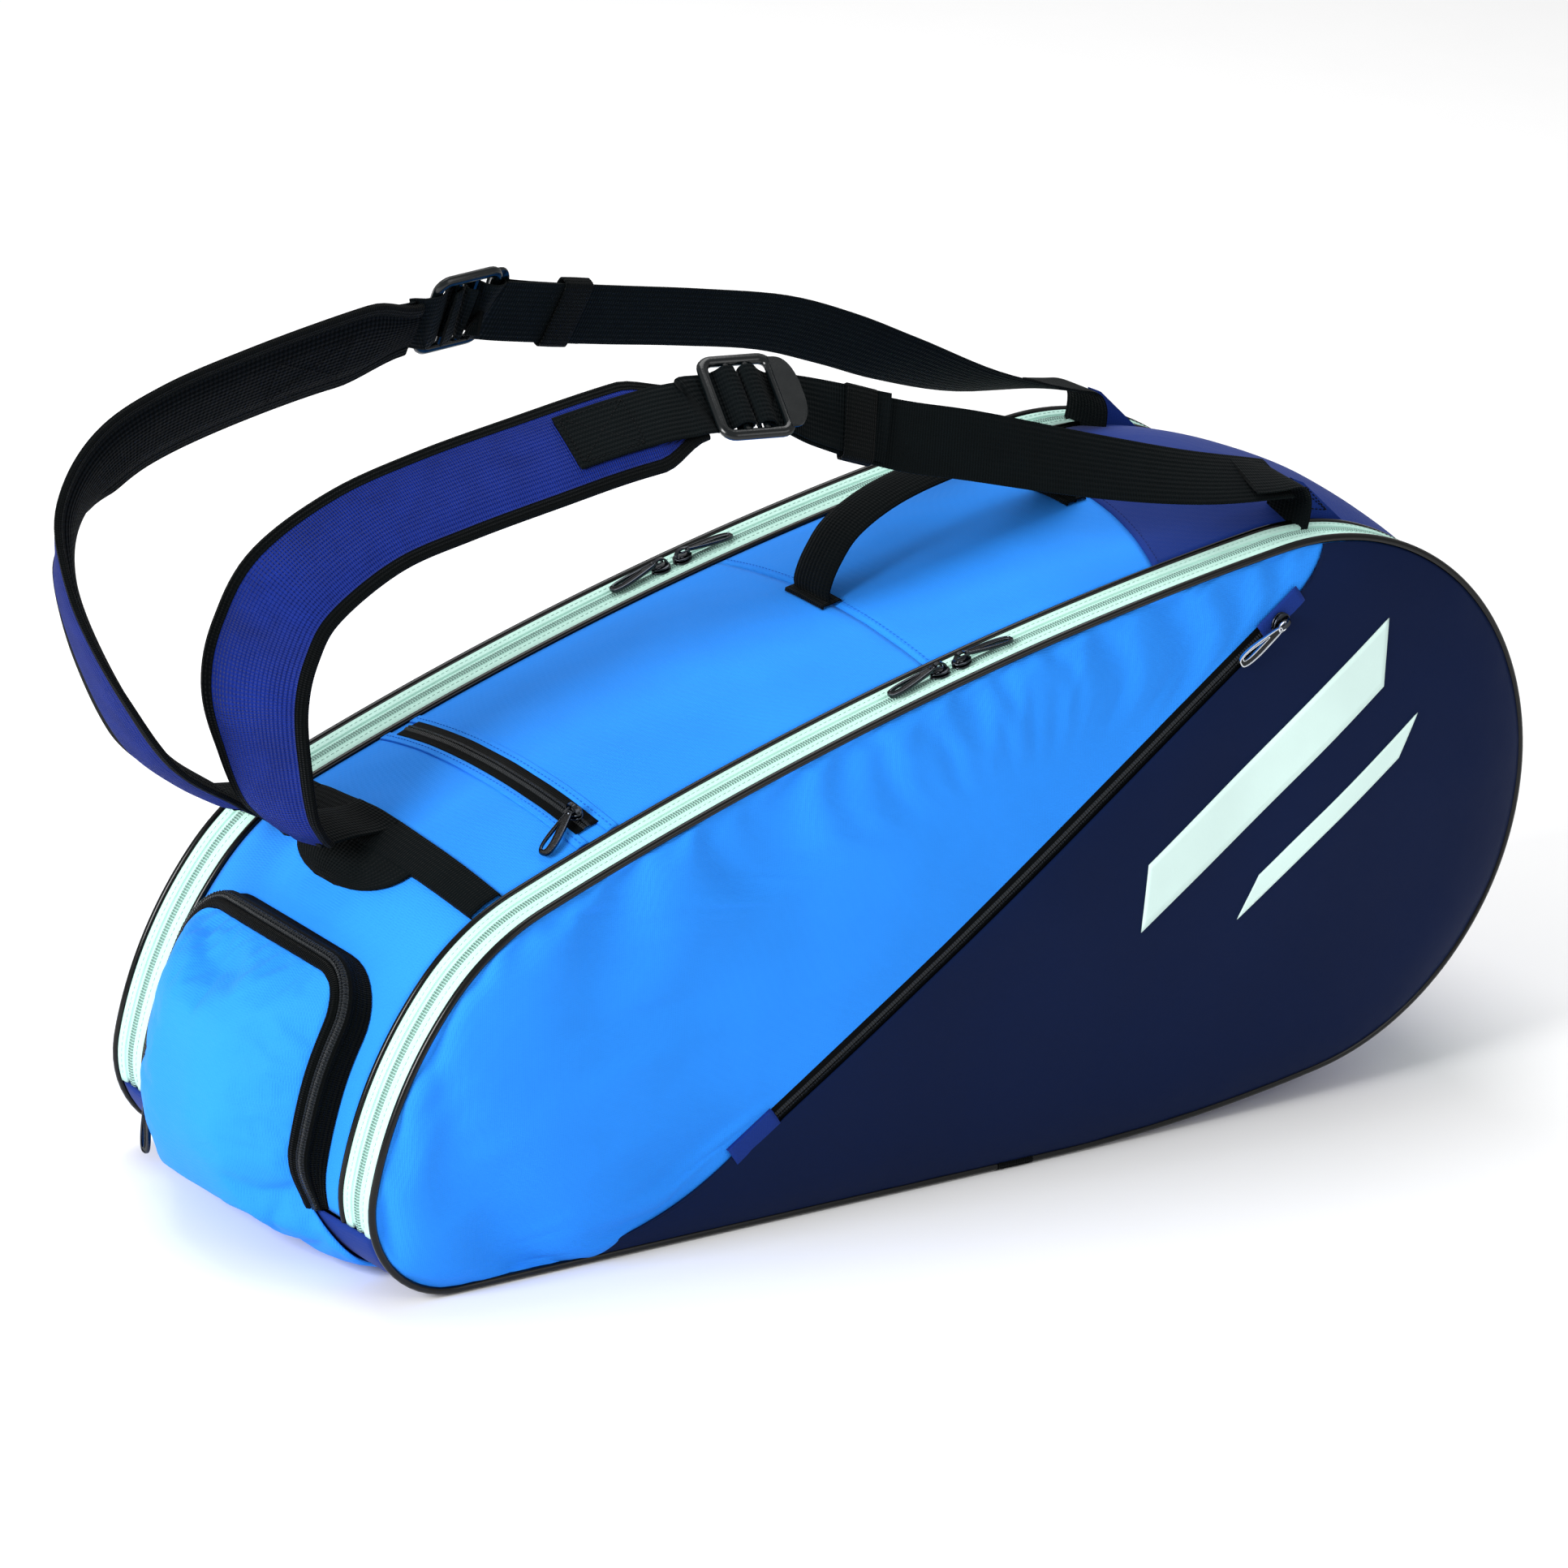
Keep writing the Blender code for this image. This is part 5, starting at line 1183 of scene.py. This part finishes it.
# (along, up) routes in the lock's frame, and the (x, z) steps of the curled end
PATCH_ROUND_BAR = ((-0.0235, 0.0036), (-0.0175, 0.0036), (-0.0118, 0.0008), (-0.0088, -0.0024),
                   (-0.0055, -0.0032), (-0.0024, -0.0022), (-0.0014, 0.0006), (-0.0034, 0.003),
                   (-0.009, 0.0048))
WEB_ROUND_BAR = ((0.0045, 0.005), (0.0018, 0.003), (0.0014, 0.0004), (0.0026, -0.0022), (0.0055, -0.0032),
                 (0.0088, -0.0024), (0.0116, 0.0006), (0.015, 0.0036))
CURL = ((0.0015, -0.0008), (0.0062, -0.0065), (0.007, -0.015), (0.0045, -0.0285))
TAB_X = 0.234


def smooth_run(run, parts):
    """Smoothed places and width directions of a strap given as pairs of them."""
    return [smooth_path(column, parts) for column in zip(*run)]


def webbing_band(name, line, widths, bodies, start, end, half=WEB_HALF, thick=WEB_THICK):
    """Band of webbing along a line, attached to no body; bodies, start and end are not used."""
    piece = solid(name, strap_rows(line, widths, lambda t: band_section(half, thick)), WEB, None)
    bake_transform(piece)
    return piece


def keeper_band(word, web):
    """Elastic keeper round both layers of webbing."""
    knots, widths = smooth_run(web, 3)
    keeper = lock_frame((knots[4] + knots[5]) / 2, Vector(web[2][0]) - Vector(web[1][0]),
                        (widths[4] + widths[5]) / 2)
    rows = []
    for x in span(-0.009, 0.009, 7):
        half_height = 0.004 + 0.0003 * math.cos(x / 0.009 * math.pi / 2)
        row = []
        for a in turns(28):
            across = (WEB_HALF + 0.0016) * math.copysign(abs(math.cos(a)) ** 0.25, math.cos(a))
            height = half_height * math.copysign(abs(math.sin(a)) ** 0.45, math.sin(a)) - 0.0012
            row.append(keeper @ Vector((x, across, height)))
        rows.append(row)
    body = f"{word}_strap_keeper"
    sheet(f"{word}_keeper_band", rows, BINDING, body, "black_webbing", body, thick=0.001, offset=0.0,
          wrap_columns=True)


def strap_tab(word, side):
    """Folded fabric tab sewn under the inner piping."""
    base_s, y_tab = SIDE.top_s(TAB_X), side * (INNER_Y - 0.006)
    low_left, low_right = SIDE.at(base_s + 0.0045, 0.0, 0.001), SIDE.at(base_s - 0.03, 0.0, 0.001)
    high_left, high_right = Vector((0.227, 0, 0.353)), Vector((0.234, 0, 0.35))

    def point(t, v, lift):
        """Point at shares t up and v across the tab, lifted off its middle plane."""
        p = low_left.lerp(high_left, t).lerp(low_right.lerp(high_right, t), v)
        return Vector((p.x, y_tab - side * t * 0.001 + lift, p.z))

    rows = []
    for t in span(0, 1, 10):
        bulge = 0.0004 * math.sin(math.pi * t)
        loop = [(-1, v) for v in span(0, 1, 9)] + [(1, v) for v in span(1, 0, 9)]
        rows.append([point(t, v, face * (0.0016 + bulge * (1 - (2 * v - 1) ** 2))) for face, v in loop])
    solid(f"{word}_tab_fabric", rows, NAVY, "bag_shell", f"{word}_strap_tab")
    corners = [point(t, v, side * 0.0022)
               for t, v in ((0.3, 0.16), (0.86, 0.16), (0.86, 0.84), (0.3, 0.84))]
    cross_stitch(f"{word}_tab_stitch", corners, Vector((0, side, 0)), "bag_shell")


def shoulder_strap(word, side, pad, lock, web):
    strap, lock_body = f"{word}_strap", f"{word}_ladder_lock"
    places, widths = smooth_run(pad, 9)
    skin = solid(f"{word}_pad_fabric", strap_rows(places, widths, pad_section), [PAD_BLUE, BINDING, AIR_MESH],
                 strap, f"{word}_strap_pad", zones=PAD_ZONES, cap_zone=1, smooth=60.0)
    # webbing patch sewn on the pad's end, running under the lock's frame and round its first bar
    matrix = lock_frame(lock[0], Vector(web[0][0]) - Vector(pad[-1][0]), lock[1])
    count, frames = len(places), frames_along(places)
    lifted, under = [], []
    for k in range(int(count * 0.83), count):
        across = square_to(frames[k], widths[k])
        outward = across.cross(frames[k])
        half_body = pad_body(k / (count - 1)) / 2
        lifted.append((places[k] + outward * (half_body + 0.002), widths[k]))
        under.append((places[k] - outward * (half_body + 0.0012), across))
    lifted += [(matrix @ Vector((x, 0.0, z)), lock[1]) for x, z in PATCH_ROUND_BAR]
    patch, patch_widths = smooth_run(lifted, 3)
    webbing_band(f"{word}_pad_patch", patch, patch_widths, (strap, lock_body),
                 matrix @ Vector((-0.03, 0, 0)), matrix @ Vector((-0.012, 0, 0)))
    tangent = frames_along(patch)
    outer = []
    for k, sign in ((2, -1), (24, -1), (24, 1), (2, 1)):
        across = square_to(tangent[k], patch_widths[k])
        outer.append(patch[k] + across * sign * SEAM_HALF + across.cross(tangent[k]) * 0.0011)
    inner = [under[k][0] + under[k][1] * sign * SEAM_HALF for k, sign in ((1, -1), (8, -1), (8, 1), (1, 1))]
    up = patch_widths[12].cross(tangent[12]).normalized()
    cross_stitch(f"{word}_patch_stitch", outer, up, strap)
    cross_stitch(f"{word}_back_stitch", inner, -up, strap)
    finished(f"{word}_lock_detail", ladder_lock_mesh(f"{word}_lock_detail", matrix), BUCKLE, lock_body,
             lock_body, smooth=40.0)
    # main webbing: round the lock's second bar, under its lip and on to the tab; its free end lies on top
    route = [(matrix @ Vector((x, 0.0, z)), lock[1]) for x, z in WEB_ROUND_BAR] + web
    line, turn = smooth_run(route, 6)
    tangent = frames_along(line)
    leave = 6 * len(WEB_ROUND_BAR)
    top = []
    for k in range(leave - 5, leave + 12):
        across = square_to(tangent[k], turn[k])
        skew = across * 0.002 * (k - leave) / 12
        top.append((line[k] + across.cross(tangent[k]) * 0.0024 - skew, turn[k]))
    hand_over = matrix @ Vector((0.05, 0, 0)), matrix @ Vector((0.018, 0, 0))
    run = webbing_band(f"{word}_webbing_run", line, turn, (strap, lock_body), *hand_over)
    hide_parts(f"{word}_strap_webbing")
    webbing_band(f"{word}_free_end", *zip(*top), (strap, lock_body), *hand_over)
    keeper_band(word, web)
    # root webbing from the anchor to the pad
    start, end = gusset_at(S_ANCHOR, ROOT_Y[word], 0.0028), places[2]
    root_line = smooth_path([start + Vector((0.01, 0, 0.003)), start,
                             (start + end) / 2 + Vector((0, 0, 0.0008)), end], 6)
    root_widths = [FACING.lerp(widths[2], t) for t in span(0, 1, len(root_line))]
    root = webbing_band(f"{word}_root_webbing", root_line, root_widths, ("bag_shell", strap), start, end,
                        thick=0.0022)
    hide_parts(f"{word}_strap_root")
    # the webbing's sewn end curls down along the tab's edge to the piping
    last = line[-1]
    ahead = (last - line[-5]).normalized()
    curl = smooth_path([last - ahead * 0.024, last - ahead * 0.01]
                       + [last + Vector((x, 0, z)) for x, z in CURL], 6)
    curl_widths = [turn[-1].lerp(FACING, ease(t * 1.6)) for t in span(0, 1, len(curl))]
    curl = [p + w.cross(d).normalized() * 0.0021 for p, w, d in zip(curl, curl_widths, frames_along(curl))]
    webbing_band(f"{word}_tab_webbing", curl, curl_widths, ("bag_shell", strap), curl[-1], curl[8],
                 half=WEB_HALF - 0.0008)
    strap_tab(word, side)


shoulder_strap("front", -1, FRONT_PAD, FRONT_LOCK, FRONT_WEB)
shoulder_strap("rear", 1, REAR_PAD, REAR_LOCK, REAR_WEB)

# ======== camera, light and floor
AZIMUTH, ELEVATION, ROLL = (math.radians(a) for a in (-36.1, 19.88, 2.98))
view = Vector((-math.sin(AZIMUTH) * math.cos(ELEVATION), math.cos(AZIMUTH) * math.cos(ELEVATION),
               -math.sin(ELEVATION)))
right = view.cross(UP).normalized()
upward = right.cross(view)
rolled_right = right * math.cos(ROLL) + upward * math.sin(ROLL)
rolled_up = upward * math.cos(ROLL) - right * math.sin(ROLL)
camera_data = bpy.data.cameras.new("camera")
camera_data.lens, camera_data.sensor_width, camera_data.clip_end = 194.35, 36.0, 50.0
camera = bpy.data.objects.new("camera", camera_data)
camera.matrix_world = placed((-2.566, -3.4695, 1.7438), rolled_right, rolled_up, -view)
bpy.context.scene.collection.objects.link(camera)
bpy.context.scene.camera = camera

floor_marks = span(-6.0, 6.0, 5)
floor_mesh = grid_mesh("floor", [[(x, y, 0.0) for y in floor_marks] for x in floor_marks])
finished("floor", floor_mesh, FLOOR, None, ())


def softbox(name, place, size, power):
    """Square light of a size in metres and a power in watts, aimed at the bag's middle."""
    data = bpy.data.lights.new(name, "AREA")
    data.shape, data.size, data.energy = "SQUARE", size, power
    lamp = bpy.data.objects.new(name, data)
    lamp.location = place
    lamp.rotation_mode = "QUATERNION"
    lamp.rotation_quaternion = (Vector((0, 0, 0.2)) - Vector(place)).to_track_quat("-Z", "Y")
    bpy.context.scene.collection.objects.link(lamp)


softbox("key", (-3.4, -0.5, 1.7), 1.4, 135.0)
softbox("fill", (1.0, -3.4, 1.8), 2.0, 24.0)
softbox("top", (0.2, 1.2, 3.0), 2.2, 54.0)
world = bpy.data.worlds.new("studio")
world.use_nodes = True
world.node_tree.nodes["Background"].inputs["Color"].default_value = (1.0, 1.0, 1.0, 1.0)
world.node_tree.nodes["Background"].inputs["Strength"].default_value = 0.55
bpy.context.scene.world = world
bpy.context.scene.view_settings.view_transform = "Standard"
